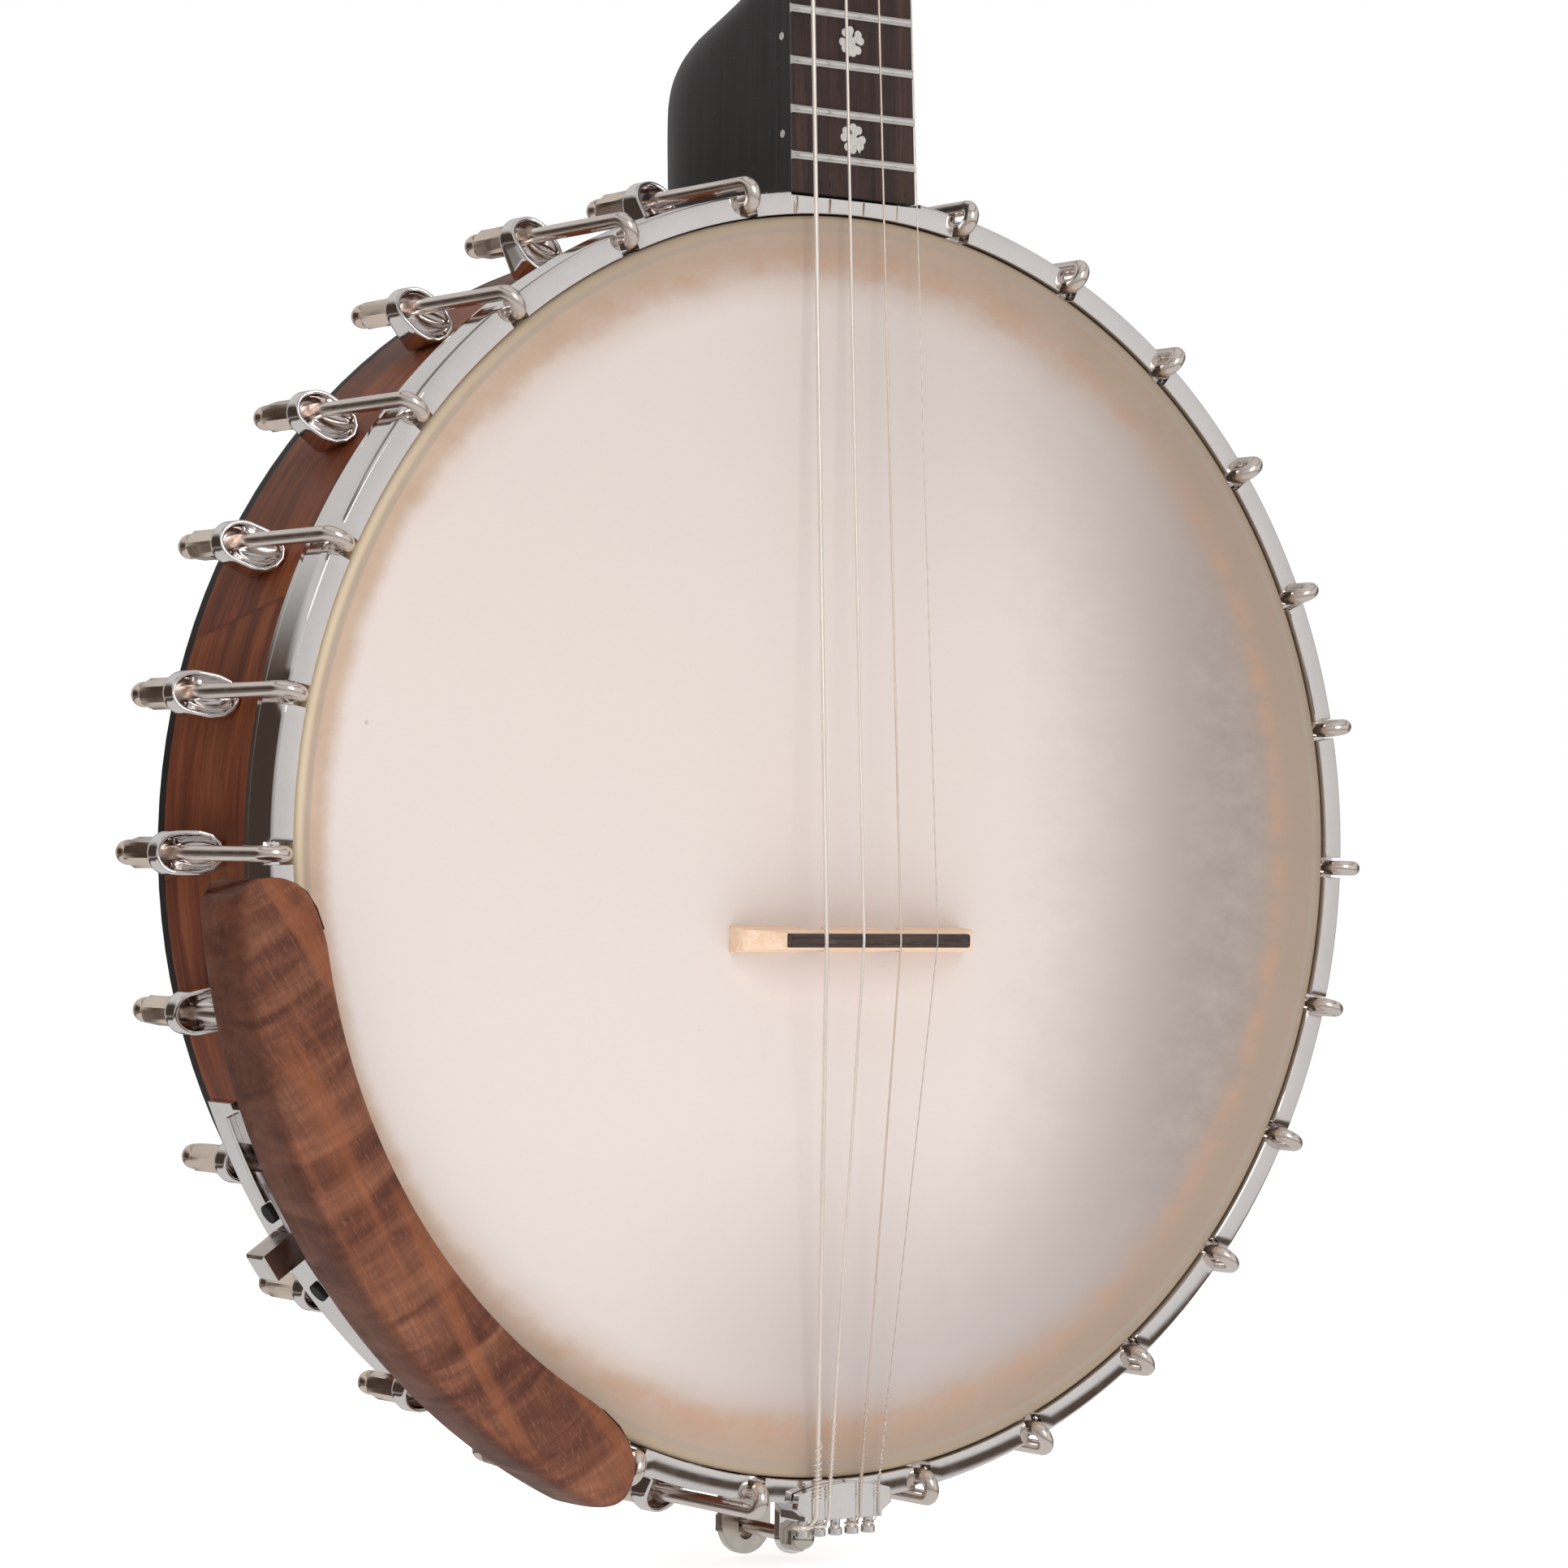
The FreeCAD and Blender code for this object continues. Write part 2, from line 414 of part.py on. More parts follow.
# ============================ tuners ==========================================
POST_R = 3.0
WRAP_Y = -5.6
housings, bushings = [], []
for i, (x, s) in enumerate(TUNER_XS):
    hz = cyl((x, 15.7, s), (0, 1, 0), 9.5, 17.6)
    hz = hz.fuse(Part.makeCone(9.5, 8.0, 1.6, V(x, 33.3, s), V(0, 1, 0)))
    hz = hz.cut(cyl((x, 17.2, s), (0, 1, 0), 8.2, 14.4))
    hz = hz.cut(cyl((x, 10, s), (0, 1, 0), POST_R + 0.06, 12))
    hz = hz.cut(cyl((x, 28, s), (0, 1, 0), 2.5 + 0.06, 12))
    housings.append(put(hz, P_PEG))
    b = cyl((x, -1.0, s), (0, 1, 0), 4.9, 16.6).fuse(hexbar((x, -2.6, s), "y", 12.5, 1.7)).fuse(cyl((x, -1.0, s), (0, 1, 0), 7.6, 0.98))
    b = b.cut(cyl((x, -6, s), (0, 1, 0), POST_R + 0.06, 30))
    bushings.append(put(b.removeSplitter(), P_PEG))
    post = cyl((x, -11.0, s), (0, 1, 0), POST_R, 30.0).fuse(Part.makeCone(2.2, POST_R, 0.9, V(x, -11.9, s), V(0, 1, 0)))
    post = post.fuse(cyl((x, 18.0, s), (0, 1, 0), 7.6, 2.6))
    for k in range(3):
        a = math.radians(120 * k)
        post = post.fuse(cyl((x + 5.6 * math.cos(a), 20.0, s + 5.6 * math.sin(a)), (0, 1, 0), 1.9, 5.6))
    post = post.cut(cyl((x - 5, -9.3, s), (1, 0, 0), 0.8, 10))
    export("tuner_post_%d" % (i + 1), put(post.removeSplitter(), P_PEG))
    rw = STRING_R[i]
    wrap = []
    turns = 4
    for k in range(turns):
        wrap.append(Part.makeTorus(POST_R + 0.02 + rw, rw, V(x, WRAP_Y + (k - (turns - 1) / 2.0) * (2 * rw + 0.02), s), V(0, 1, 0)))
    export("string_wrap_%d" % (i + 1), [put(w, P_PEG) for w in wrap])
    sh = cyl((x, 21.2, s), (0, 1, 0), 3.5, 5.2).fuse(cyl((x, 26.0, s), (0, 1, 0), 2.5, 9.8)).fuse(cyl((x, 35.5, s), (0, 1, 0), 1.95, 10.0))
    export("tuner_shaft_%d" % (i + 1), put(sh.removeSplitter(), P_PEG))
    kn = Part.makeSphere(1.0)
    m = FreeCAD.Matrix()
    m.A11, m.A22, m.A33 = 9.6, 7.2, 4.6
    kn = kn.transformGeometry(m)
    kn.translate(V(x, 42.6, s))
    kn = kn.fuse(cyl((x, 35.9, s), (0, 1, 0), 3.6, 4.5))
    kn = kn.cut(box(x - 12, x + 12, 30, 35.9, s - 12, s + 12))
    kn = kn.cut(cyl((x, 35.0, s), (0, 1, 0), 2.0, 10.7))
    export("tuner_button_%d" % (i + 1), put(kn.removeSplitter(), P_PEG))
export("tuner_housings", housings)
export("tuner_bushings", bushings)

# ============================ bridge ==========================================
half = [(34.5, 0.0), (15.2, 0.0)]
arch = [(15.2, 0.0), (14.9, -3.2), (13.2, -5.6), (11.4, -6.2), (9.6, -5.6), (7.9, -3.2), (7.6, 0.0)]
outline = [(-34.5, -0.02), (-34.5, -5.2), (-33.2, -7.0), (-30.0, -9.4), (-27.6, -12.2), (-26.7, -13.15)]
outline += [(26.7, -13.15), (27.6, -12.2), (30.0, -9.4), (33.2, -7.0), (34.5, -5.2), (34.5, -0.02)]
outline += [(x, y if y else -0.02) for x, y in arch]
outline += [(-x, y if y else -0.02) for x, y in reversed(arch)]
brf = Part.Face(Part.makePolygon([V(x, y, BRIDGE_Z - 5) for x, y in outline + [outline[0]]]))
br = brf.extrude(V(0, 0, 10))
wedge = [(-0.0, 3.2), (-13.2, 1.75), (-20, 1.0), (-20, 9), (0.5, 9), (0.5, 3.2)]
for sg in (-1, 1):
    wf = Part.Face(Part.makePolygon([V(-40, y, BRIDGE_Z + sg * z) for y, z in wedge + [wedge[0]]])).extrude(V(80, 0, 0))
    br = br.cut(wf)
export("bridge_body", br)
strings_path = []
for i in range(4):
    r = STRING_R[i]
    tn = nut_pts[i]
    b = (BRIDGE_X[i], BRIDGE_Y, BRIDGE_Z)
    t1 = (TAIL_X[i], -4.45 + 0.3 - r * 0, -154.0)
    t2 = (TAIL_X[i], -3.95, -162.9)
    px = POST_X[(0, 1, 3, 4)[i]]
    t3 = (px + 1.30 + r + 0.05 if TAIL_X[i] > px else px - 1.30 - r - 0.05, -1.9, -164.9)
    strings_path.append((tn, b, t1, t2, t3))
saddle = box(-26.7, 26.7, BRIDGE_Y, -13.17, BRIDGE_Z - 1.7, BRIDGE_Z + 1.7)
bevel = [(-14.4, 1.7), (BRIDGE_Y - 0.2, 1.0), (BRIDGE_Y - 0.2, 3), (-14.4, 3)]
for sg in (-1, 1):
    saddle = saddle.cut(Part.Face(Part.makePolygon([V(-40, y, BRIDGE_Z + sg * z) for y, z in bevel + [bevel[0]]])).extrude(V(80, 0, 0)))
str_shapes, str_tools = [], []
for i in range(4):
    r = STRING_R[i]
    tn, b, t1, t2, t3 = strings_path[i]
    # behind the nut, on to the tuner post
    x, s = TUNER_XS[i]
    off = POST_R + 0.02 + 2 * r + 0.27 + r
    sx = x + off if x < 0 else x - off
    pe = P_PEG.multVec(V(sx, WRAP_Y, s + 1.0))
    nut_back = P_NECK.multVec(V(NUT_X[i], -1.0 - 0.62 - r + 0.05, NUT_Z + 3.6))
    path = [tuple(pe), tuple(nut_back), tuple(tn), b, t1, t2, t3]
    sh = tube_path(path, r)
    sh = sh.fuse(Part.makeTorus(1.25 + 0.06 + r, r, V(POST_X[(0, 1, 3, 4)[i]], -1.9, -164.9), V(0, 0, 1)))
    str_shapes.append(sh)
    tool = tube_path(path, r + 0.04)
    slot = tool
    str_tools.append(tool)
for i, sh in enumerate(str_shapes):
    export("string_%d" % (i + 1), sh)
tools = Part.makeCompound(str_tools)
for i in range(4):
    saddle = saddle.cut(str_tools[i])
    # the groove is open to the front
    saddle = saddle.cut(box(BRIDGE_X[i] - STRING_R[i] - 0.04, BRIDGE_X[i] + STRING_R[i] + 0.04, BRIDGE_Y - 2, BRIDGE_Y, BRIDGE_Z - 5, BRIDGE_Z + 5))
    snut = snut.cut(str_tools[i])
    nb = box(NUT_X[i] - STRING_R[i] - 0.04, NUT_X[i] + STRING_R[i] + 0.04, -8, -1.0 - 0.65 - STRING_R[i], NUT_Z - 2, NUT_Z + 8)
    snut = snut.cut(put(nb, P_NECK))
export("bridge_saddle", saddle)
export("string_nut", snut)

# ============================ tailpiece =======================================
arch_top = Part.Arc(V(-14.2, 0, -157.0), V(-0.6, 0, -154.7), V(13.0, 0, -156.6)).toShape()
edges = [arch_top, Part.makeLine(V(13.0, 0, -156.6), V(13.4, 0, -160.2)), Part.makeLine(V(13.4, 0, -160.2), V(10.5, 0, -162.2)),
         Part.makeLine(V(10.5, 0, -162.2), V(-12.6, 0, -162.2)), Part.makeLine(V(-12.6, 0, -162.2), V(-14.6, 0, -160.6)),
         Part.makeLine(V(-14.6, 0, -160.6), V(-14.2, 0, -157.0))]
plate = Part.Face(Part.Wire(edges)).extrude(V(0, 2.4, 0))
plate.translate(V(0, -3.3, 0))
leaf = box(-12.4, 10.6, -3.3, 7.0, -163.5, -161.4)
leaf2 = Part.Face(Part.makePolygon([V(-12.0, 6.9, -163.5), V(10.0, 6.9, -163.5), V(4.4, 21.0, -163.5), V(-4.4, 21.0, -163.5), V(-12.0, 6.9, -163.5)])).extrude(V(0, 0, 1.6))
tab = box(-4.4, 4.4, 18.8, 21.0, -170.3, -161.9).fuse(cyl((0, 18.8, -170.3), (0, 1, 0), 4.4, 2.2))
body = plate.fuse(leaf).fuse(leaf2).fuse(tab)
body = body.cut(cyl((0, 15, -170.3), (0, 1, 0), 1.9, 10))
for i in range(4):
    body = body.cut(str_tools[i])
    body = body.cut(box(TAIL_X[i] - 0.75, TAIL_X[i] + 0.75, -6, -2.7, -165, -150))
body = body.removeSplitter()
posts = []
for x in POST_X:
    pst = cyl((x, -1.9 if x in (POST_X[0], POST_X[1], POST_X[3], POST_X[4]) else -1.9, -167.4), (0, 0, 1), 1.25, 3.88)
    pst = pst.fuse(cyl((x, -1.9, -167.4), (0, 0, 1), 1.75, 0.9))
    posts.append(pst)
# the front leaf carries the posts, so the plate's lower edge reaches over them
export("tailpiece_body", body)
export("tailpiece_posts", posts)

ROD_Y = 50.0
hb = cyl((0, 13.5, -170.3), (0, 1, 0), 1.8, 35.5)
export("tailpiece_bolt", hb)
ac = hexbar((0, 15.4, -170.3), "y", 6.2, 3.35).fuse(Part.makeSphere(2.9, V(0, 15.0, -170.3)))
ac = ac.cut(cyl((0, 13.4, -170.3), (0, 1, 0), 1.86, 8))
export("tailpiece_acorn_nut", ac)
bn = []
for y in (41.95, 45.2):
    n_ = hexbar((0, y, -170.3), "y", 7.0, 3.0)
    bn.append(n_.cut(cyl((0, y - 1, -170.3), (0, 1, 0), 1.86, 6)))
export("tailpiece_bracket_nuts", bn)
leg = revolve([(RIM_R_OUT + 0.05, 39.6), (RIM_R_OUT + 2.2, 39.6), (RIM_R_OUT + 2.2, 60.0), (RIM_R_OUT + 0.05, 60.0)], 180 - 2.7, 180 + 2.7)
disc = box(-7.3, 7.3, 39.6, 41.8, -170.0, -153.4).fuse(cyl((0, 39.6, -170.0), (0, 1, 0), 7.3, 2.2))
disc = disc.cut(box(-2.3, 2.3, 38, 44, -171.4, -168.0)).cut(cyl((0, 38, -168.0), (0, 1, 0), 2.3, 6)).cut(cyl((0, 38, -171.4), (0, 1, 0), 2.3, 6))
brk = leg.fuse(disc)
brk = brk.cut(cyl((0, 0, 0), (0, 1, 0), RIM_R_OUT + 0.05, 80)).cut(cyl((0, ROD_Y, -165), (0, 0, 1), 3.15, 20))
export("tailpiece_bracket", brk.removeSplitter())

# ============================ neck hardware in the pot ========================
rod = cyl((0, ROD_Y, -133.0), (0, 0, 1), 5.0, 262.0)
rod = rod.cut(cyl((0, ROD_Y, 108), (0, 0, 1), 3.05, 25)).cut(cyl((0, ROD_Y, -134), (0, 0, 1), 3.05, 22))
rod = rod.cut(cyl((-8, ROD_Y, 60), (1, 0, 0), 1.6, 16))
export("coordinator_rod", rod)
export("neck_hanger_bolts", [cyl((0, NECK_STEEL_Y[0], 131.5), (0, 0, 1), 3.0, 43.5), cyl((0, NECK_STEEL_Y[1], 110.0), (0, 0, 1), 3.0, 65.0)])
nn = []
for y in NECK_STEEL_Y:
    q = hexbar((0, y, 134.2), "z", 10.0, 5.2).fuse(cyl((0, y, 139.4), (0, 0, 1), 7.0, 1.5))
    nn.append(q.cut(cyl((0, y, 130), (0, 0, 1), 3.06, 15)))
tb = cyl((0, ROD_Y, -155.6), (0, 0, 1), 3.0, 41.6).fuse(hexbar((0, ROD_Y, -159.6), "z", 10.0, 4.3))
export("rod_tail_bolt", tb.removeSplitter())
q = hexbar((0, ROD_Y, -139.5), "z", 10.0, 5.2).fuse(cyl((0, ROD_Y, -141.0), (0, 0, 1), 7.0, 1.6))
nn.append(q.cut(cyl((0, ROD_Y, -145), (0, 0, 1), 3.06, 15)))
export("neck_steel_nuts", nn)

# ============================ armrest =========================================
ARM_A0, ARM_A1 = 93.3, 156.2
ARM_IN = 151.4
prof = [(151.4, -6.2), (151.4, -8.0), (152.0, -8.9), (155.0, -10.4), (159.0, -11.3), (163.5, -11.6), (167.5, -11.0), (170.4, -9.6), (172.2, -7.4),
        (173.0, -4.2), (173.3, 1.0), (173.2, 8.2), (172.4, 10.0), (169.4, 10.2), (167.4, 9.2), (166.8, 6.0), (166.8, -3.6), (165.4, -6.2)]
arm = revolve(prof, -ARM_A1 - 1, -ARM_A0 + 1)


def pol(r, a):
    t = math.radians(-a)
    return V(r * math.sin(t), -20, r * math.cos(t))


up = [pol(151.0, 100.0), pol(151.5, 97.6), pol(154.9, 94.7), pol(160.5, 93.4), pol(167.0, 93.2), pol(172.5, 93.9), pol(176.0, 96.2)]
lo = [pol(176.0, 153.0), pol(172.2, 155.5), pol(166.7, 156.15), pol(159.0, 155.6), pol(153.9, 153.7), pol(151.2, 150.6), pol(151.0, 147.0)]
bu = Part.BSplineCurve()
bu.interpolate(up)
bl = Part.BSplineCurve()
bl.interpolate(lo)
outer_arc = Part.Arc(up[-1], pol(176.0, 124.6), lo[0]).toShape()
inner_arc = Part.Arc(lo[-1], pol(151.0, 123.5), up[0]).toShape()
plan = Part.Face(Part.Wire([bu.toShape(), outer_arc, bl.toShape(), inner_arc])).extrude(V(0, 45, 0))
arm = arm.common(plan)

BAR_R0, BAR_R1, BAR_Y0, BAR_Y1 = 164.85, 166.6, 26.3, 37.3
bar = revolve([(BAR_R0, BAR_Y0), (BAR_R1, BAR_Y0), (BAR_R1, BAR_Y1), (BAR_R0, BAR_Y1)], -139.2, -111.6)
bar = bar.fuse(revolve([(BAR_R1 - 0.2, BAR_Y0), (BAR_R1 + 1.6, BAR_Y0), (BAR_R1 + 1.6, BAR_Y0 + 1.3), (BAR_R1 - 0.2, BAR_Y0 + 1.3)], -120.2, -112.6))
ARMS = (113.6, 137.6)
screws = []
for a in ARMS:
    bar = bar.fuse(revolve([(BAR_R0, -2.6), (BAR_R1, -2.6), (BAR_R1, BAR_Y0 + 1), (BAR_R0, BAR_Y0 + 1)], -a - 1.5, -a + 1.5))
    bar = bar.cut(rot_y(cyl((0, 3.0, 160), (0, 0, 1), 1.5, 10), -a))
    sc = cyl((0, 3.0, 163.6), (0, 0, 1), 1.35, 7.6).fuse(cyl((0, 3.0, 163.4), (0, 0, 1), 2.6, 1.4))
    screws.append(rot_y(sc, -a))
    arm = arm.cut(rot_y(cyl((0, 3.0, 165), (0, 0, 1), 1.4, 6.4), -a))
CL_A, CL_Y = 124.465, 28.0
bar = bar.cut(rot_y(cyl((0, CL_Y, 160), (0, 0, 1), 2.1, 10), -CL_A))
pads = []
for a in (121.5, 129.4):
    bar = bar.cut(rot_y(cyl((0, 29.6, 160), (0, 0, 1), 1.55, 10), -a))
    pads.append(rot_y(cyl((0, 29.6, 164.9), (0, 0, 1), 1.5, 2.6).fuse(cyl((0, 29.6, 166.66), (0, 0, 1), 2.4, 0.9)), -a))
export("armrest_wood", arm)
export("armrest_bar", bar.removeSplitter())
export("armrest_wood_screws", screws)
export("armrest_grommets", pads)
clp = revolve([(158.0, 18.5), (160.2, 18.5), (160.2, 31.0), (158.0, 31.0)], -133.4, -115.5)
clp = clp.cut(rot_y(cyl((0, CL_Y, 150), (0, 0, 1), 2.1, 15), -CL_A))
export("armrest_clamp_plate", clp)
cs = cyl((0, CL_Y, 156.6), (0, 0, 1), 2.0, 12.0).fuse(box(-3.5, 3.5, CL_Y - 4.2, CL_Y + 4.2, 166.75, 176.4))
chs = [e_ for e_ in cs.Edges if e_.BoundBox.ZMin > 176.3]
cs = cs.makeChamfer(0.6, chs)
export("armrest_clamp_screw", rot_y(cs, -CL_A))
print("nut z (neck) %.2f  row %s" % (NUT_Z, P_NECK.multVec(V(0, 0, NUT_Z))))
print("peg axis", P_PEG.Rotation.multVec(V(0, 1, 0)))
for i, (x, s) in enumerate(TUNER_XS):
    print("tuner", i + 1, P_PEG.multVec(V(x, 0, s)))
print("top", P_PEG.multVec(V(0, 0, 118)))
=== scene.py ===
import bpy
import bmesh
import math
import random
from mathutils import Vector, Matrix


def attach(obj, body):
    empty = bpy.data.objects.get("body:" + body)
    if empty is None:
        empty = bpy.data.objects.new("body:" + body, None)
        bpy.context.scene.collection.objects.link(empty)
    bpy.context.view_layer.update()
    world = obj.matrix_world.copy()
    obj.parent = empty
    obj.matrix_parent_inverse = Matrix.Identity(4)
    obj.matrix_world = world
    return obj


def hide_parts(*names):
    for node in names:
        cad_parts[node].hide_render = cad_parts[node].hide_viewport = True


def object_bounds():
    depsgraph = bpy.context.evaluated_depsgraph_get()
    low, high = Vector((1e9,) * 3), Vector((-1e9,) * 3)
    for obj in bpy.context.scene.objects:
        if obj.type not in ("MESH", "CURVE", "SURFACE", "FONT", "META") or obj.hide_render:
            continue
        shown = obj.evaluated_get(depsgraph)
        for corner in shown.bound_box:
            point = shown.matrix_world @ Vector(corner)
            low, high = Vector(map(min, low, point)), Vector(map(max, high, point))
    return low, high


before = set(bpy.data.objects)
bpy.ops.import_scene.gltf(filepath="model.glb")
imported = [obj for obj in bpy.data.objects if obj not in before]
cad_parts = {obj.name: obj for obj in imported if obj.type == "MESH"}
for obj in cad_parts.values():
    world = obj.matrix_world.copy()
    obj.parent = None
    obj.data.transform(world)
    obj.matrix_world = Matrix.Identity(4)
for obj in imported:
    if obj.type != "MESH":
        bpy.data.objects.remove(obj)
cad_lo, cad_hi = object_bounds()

# Four-string open-back banjo. All lengths below are millimetres in the part's own frame:
# origin on the pot axis at the head's playing surface, +X across, +Y to the open back, +Z along the neck.
MM = 0.001
RND = random.Random(11)
HOOK_ANGLES = []
for k in range(13):
    HOOK_ANGLES += [11.869 + k * 13.24667, -(11.869 + k * 13.24667)]
STRING_R = (0.55, 0.38, 0.26, 0.15)
NUT_Z = 9.03 + 571.5 * (1 - 2 ** (-19 / 12.0))
FRET_Z = [NUT_Z - 571.5 * (1 - 2 ** (-n / 12.0)) for n in range(1, 20)]


# ------------------------------------------------------------------ placing
def turn(p, deg):
    """About the pot axis: +Z goes towards +X."""
    t = math.radians(deg)
    c, s = math.cos(t), math.sin(t)
    return (p[0] * c + p[2] * s, p[1], -p[0] * s + p[2] * c)


TN, TP = math.radians(2.85), math.radians(14.0)


def neck_f(p):
    x, y, z = p
    return (x, 0.60 + y * math.cos(TN) + z * math.sin(TN), 158.6 - y * math.sin(TN) + z * math.cos(TN))


def peg_f(p):
    x, y, z = p
    return neck_f((x, 4.6 + y * math.cos(TP) + z * math.sin(TP), NUT_Z + 5.2 - y * math.sin(TP) + z * math.cos(TP)))


def board_w(z):
    return 37.5 + (32.0 - 37.5) * z / NUT_Z


# ------------------------------------------------------------------ mesh building
class Build:
    def __init__(self):
        self.v, self.f, self.m = [], [], []

    def add(self, verts, faces, mat=0, place=None):
        o = len(self.v)
        self.v += [place(p) for p in verts] if place else list(verts)
        self.f += [tuple(i + o for i in f) for f in faces]
        self.m += [mat] * len(faces)


def loft(rings, loop=False, closed=True, cap0=False, cap1=False):
    """Quads between rings of equally many points."""
    n = len(rings[0])
    verts = [p for r in rings for p in r]
    faces = []
    m = len(rings)
    for i in range(m if loop else m - 1):
        a, b = i * n, ((i + 1) % m) * n
        for j in range(n if closed else n - 1):
            k = (j + 1) % n
            faces.append((a + j, a + k, b + k, b + j))
    if cap0:
        faces.append(tuple(range(n - 1, -1, -1)))
    if cap1:
        faces.append(tuple((m - 1) * n + j for j in range(n)))
    return verts, faces


def lathe(profile, stations, loop=True, closed=True):
    """Profile of (radius, y) turned through the station angles in degrees."""
    rings = [[turn((0, y, r), a) for r, y in profile] for a in stations]
    return loft(rings, loop=loop, closed=closed, cap0=not loop and closed, cap1=not loop and closed)


def around(axis_pts, radii, n=24, twist=0.0):
    """Rings round a line of points, with parallel-transported frames."""
    P = [Vector(p) for p in axis_pts]
    t0 = (P[1] - P[0]).normalized()
    ref = Vector((0, 0, 1)) if abs(t0.z) < 0.9 else Vector((1, 0, 0))
    u = t0.cross(ref).normalized()
    rings = []
    for i, p in enumerate(P):
        if i == 0:
            t = (P[1] - P[0]).normalized()
        elif i == len(P) - 1:
            t = (P[-1] - P[-2]).normalized()
        else:
            t = ((P[i + 1] - P[i]).normalized() + (P[i] - P[i - 1]).normalized()).normalized()
        u = (u - t * u.dot(t)).normalized()
        w = t.cross(u)
        r = radii[i] if isinstance(radii, (list, tuple)) else radii
        rings.append([tuple(p + (u * math.cos(2 * math.pi * j / n + twist) + w * math.sin(2 * math.pi * j / n + twist)) * r) for j in range(n)])
    return rings


def tube(pts, r, n=12):
    return loft(around(pts, r, n), cap0=True, cap1=True)


def soften(pts, cut=1.0, steps=5):
    """Rounds a path's corners, cut millimetres either side of each."""
    out = [Vector(pts[0])]
    for i in range(1, len(pts) - 1):
        a, b, c = Vector(pts[i - 1]), Vector(pts[i]), Vector(pts[i + 1])
        d0, d1 = (a - b), (c - b)
        k0, k1 = min(cut, d0.length * 0.45), min(cut, d1.length * 0.45)
        p, q = b + d0.normalized() * k0, b + d1.normalized() * k1
        for s in range(steps + 1):
            t = s / steps
            out.append(p * (1 - t) ** 2 + b * 2 * t * (1 - t) + q * t * t)
    out.append(Vector(pts[-1]))
    return [tuple(p) for p in out]


def curve_through(pts, closed=False, steps=6):
    """Catmull-Rom points through 2-D points."""
    n = len(pts)
    out = []
    rng = range(n) if closed else range(n - 1)
    for i in rng:
        p0 = pts[(i - 1) % n] if closed or i else pts[0]
        p1, p2 = pts[i], pts[(i + 1) % n]
        p3 = pts[(i + 2) % n] if closed or i + 2 < n else pts[-1]
        for s in range(steps):
            t = s / steps
            out.append(tuple(0.5 * ((2 * p1[k]) + (-p0[k] + p2[k]) * t + (2 * p0[k] - 5 * p1[k] + 4 * p2[k] - p3[k]) * t * t
                                    + (-p0[k] + 3 * p1[k] - 3 * p2[k] + p3[k]) * t ** 3) for k in range(len(p1))))
    if not closed:
        out.append(tuple(pts[-1]))
    return out


def finish_mesh(build, name, mats, replaces=(), body="banjo", angle=32, bevel=0.0, bevel_angle=40, segments=2, merge=1e-4):
    me = bpy.data.meshes.new(name)
    me.from_pydata([tuple(c * MM for c in p) for p in build.v], [], build.f)
    for m in mats:
        me.materials.append(m)
    me.polygons.foreach_set("material_index", build.m)
    bm = bmesh.new()
    bm.from_mesh(me)
    if merge:
        bmesh.ops.remove_doubles(bm, verts=bm.verts, dist=merge * MM * 10)
    bmesh.ops.dissolve_degenerate(bm, edges=bm.edges, dist=1e-8)
    bmesh.ops.recalc_face_normals(bm, faces=bm.faces)
    if bevel:
        sharp = [e for e in bm.edges if len(e.link_faces) == 2 and e.calc_face_angle(0.0) > math.radians(bevel_angle)]
        bmesh.ops.bevel(bm, geom=sharp, offset=bevel * MM, offset_type="OFFSET", segments=segments, profile=0.6, affect="EDGES", clamp_overlap=True)
    bm.to_mesh(me)
    bm.free()
    me.shade_smooth()
    me.set_sharp_from_angle(angle=math.radians(angle))
    ob = bpy.data.objects.new(name, me)
    bpy.context.scene.collection.objects.link(ob)
    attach(ob, body)
    if replaces:
        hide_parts(*replaces)
    return ob


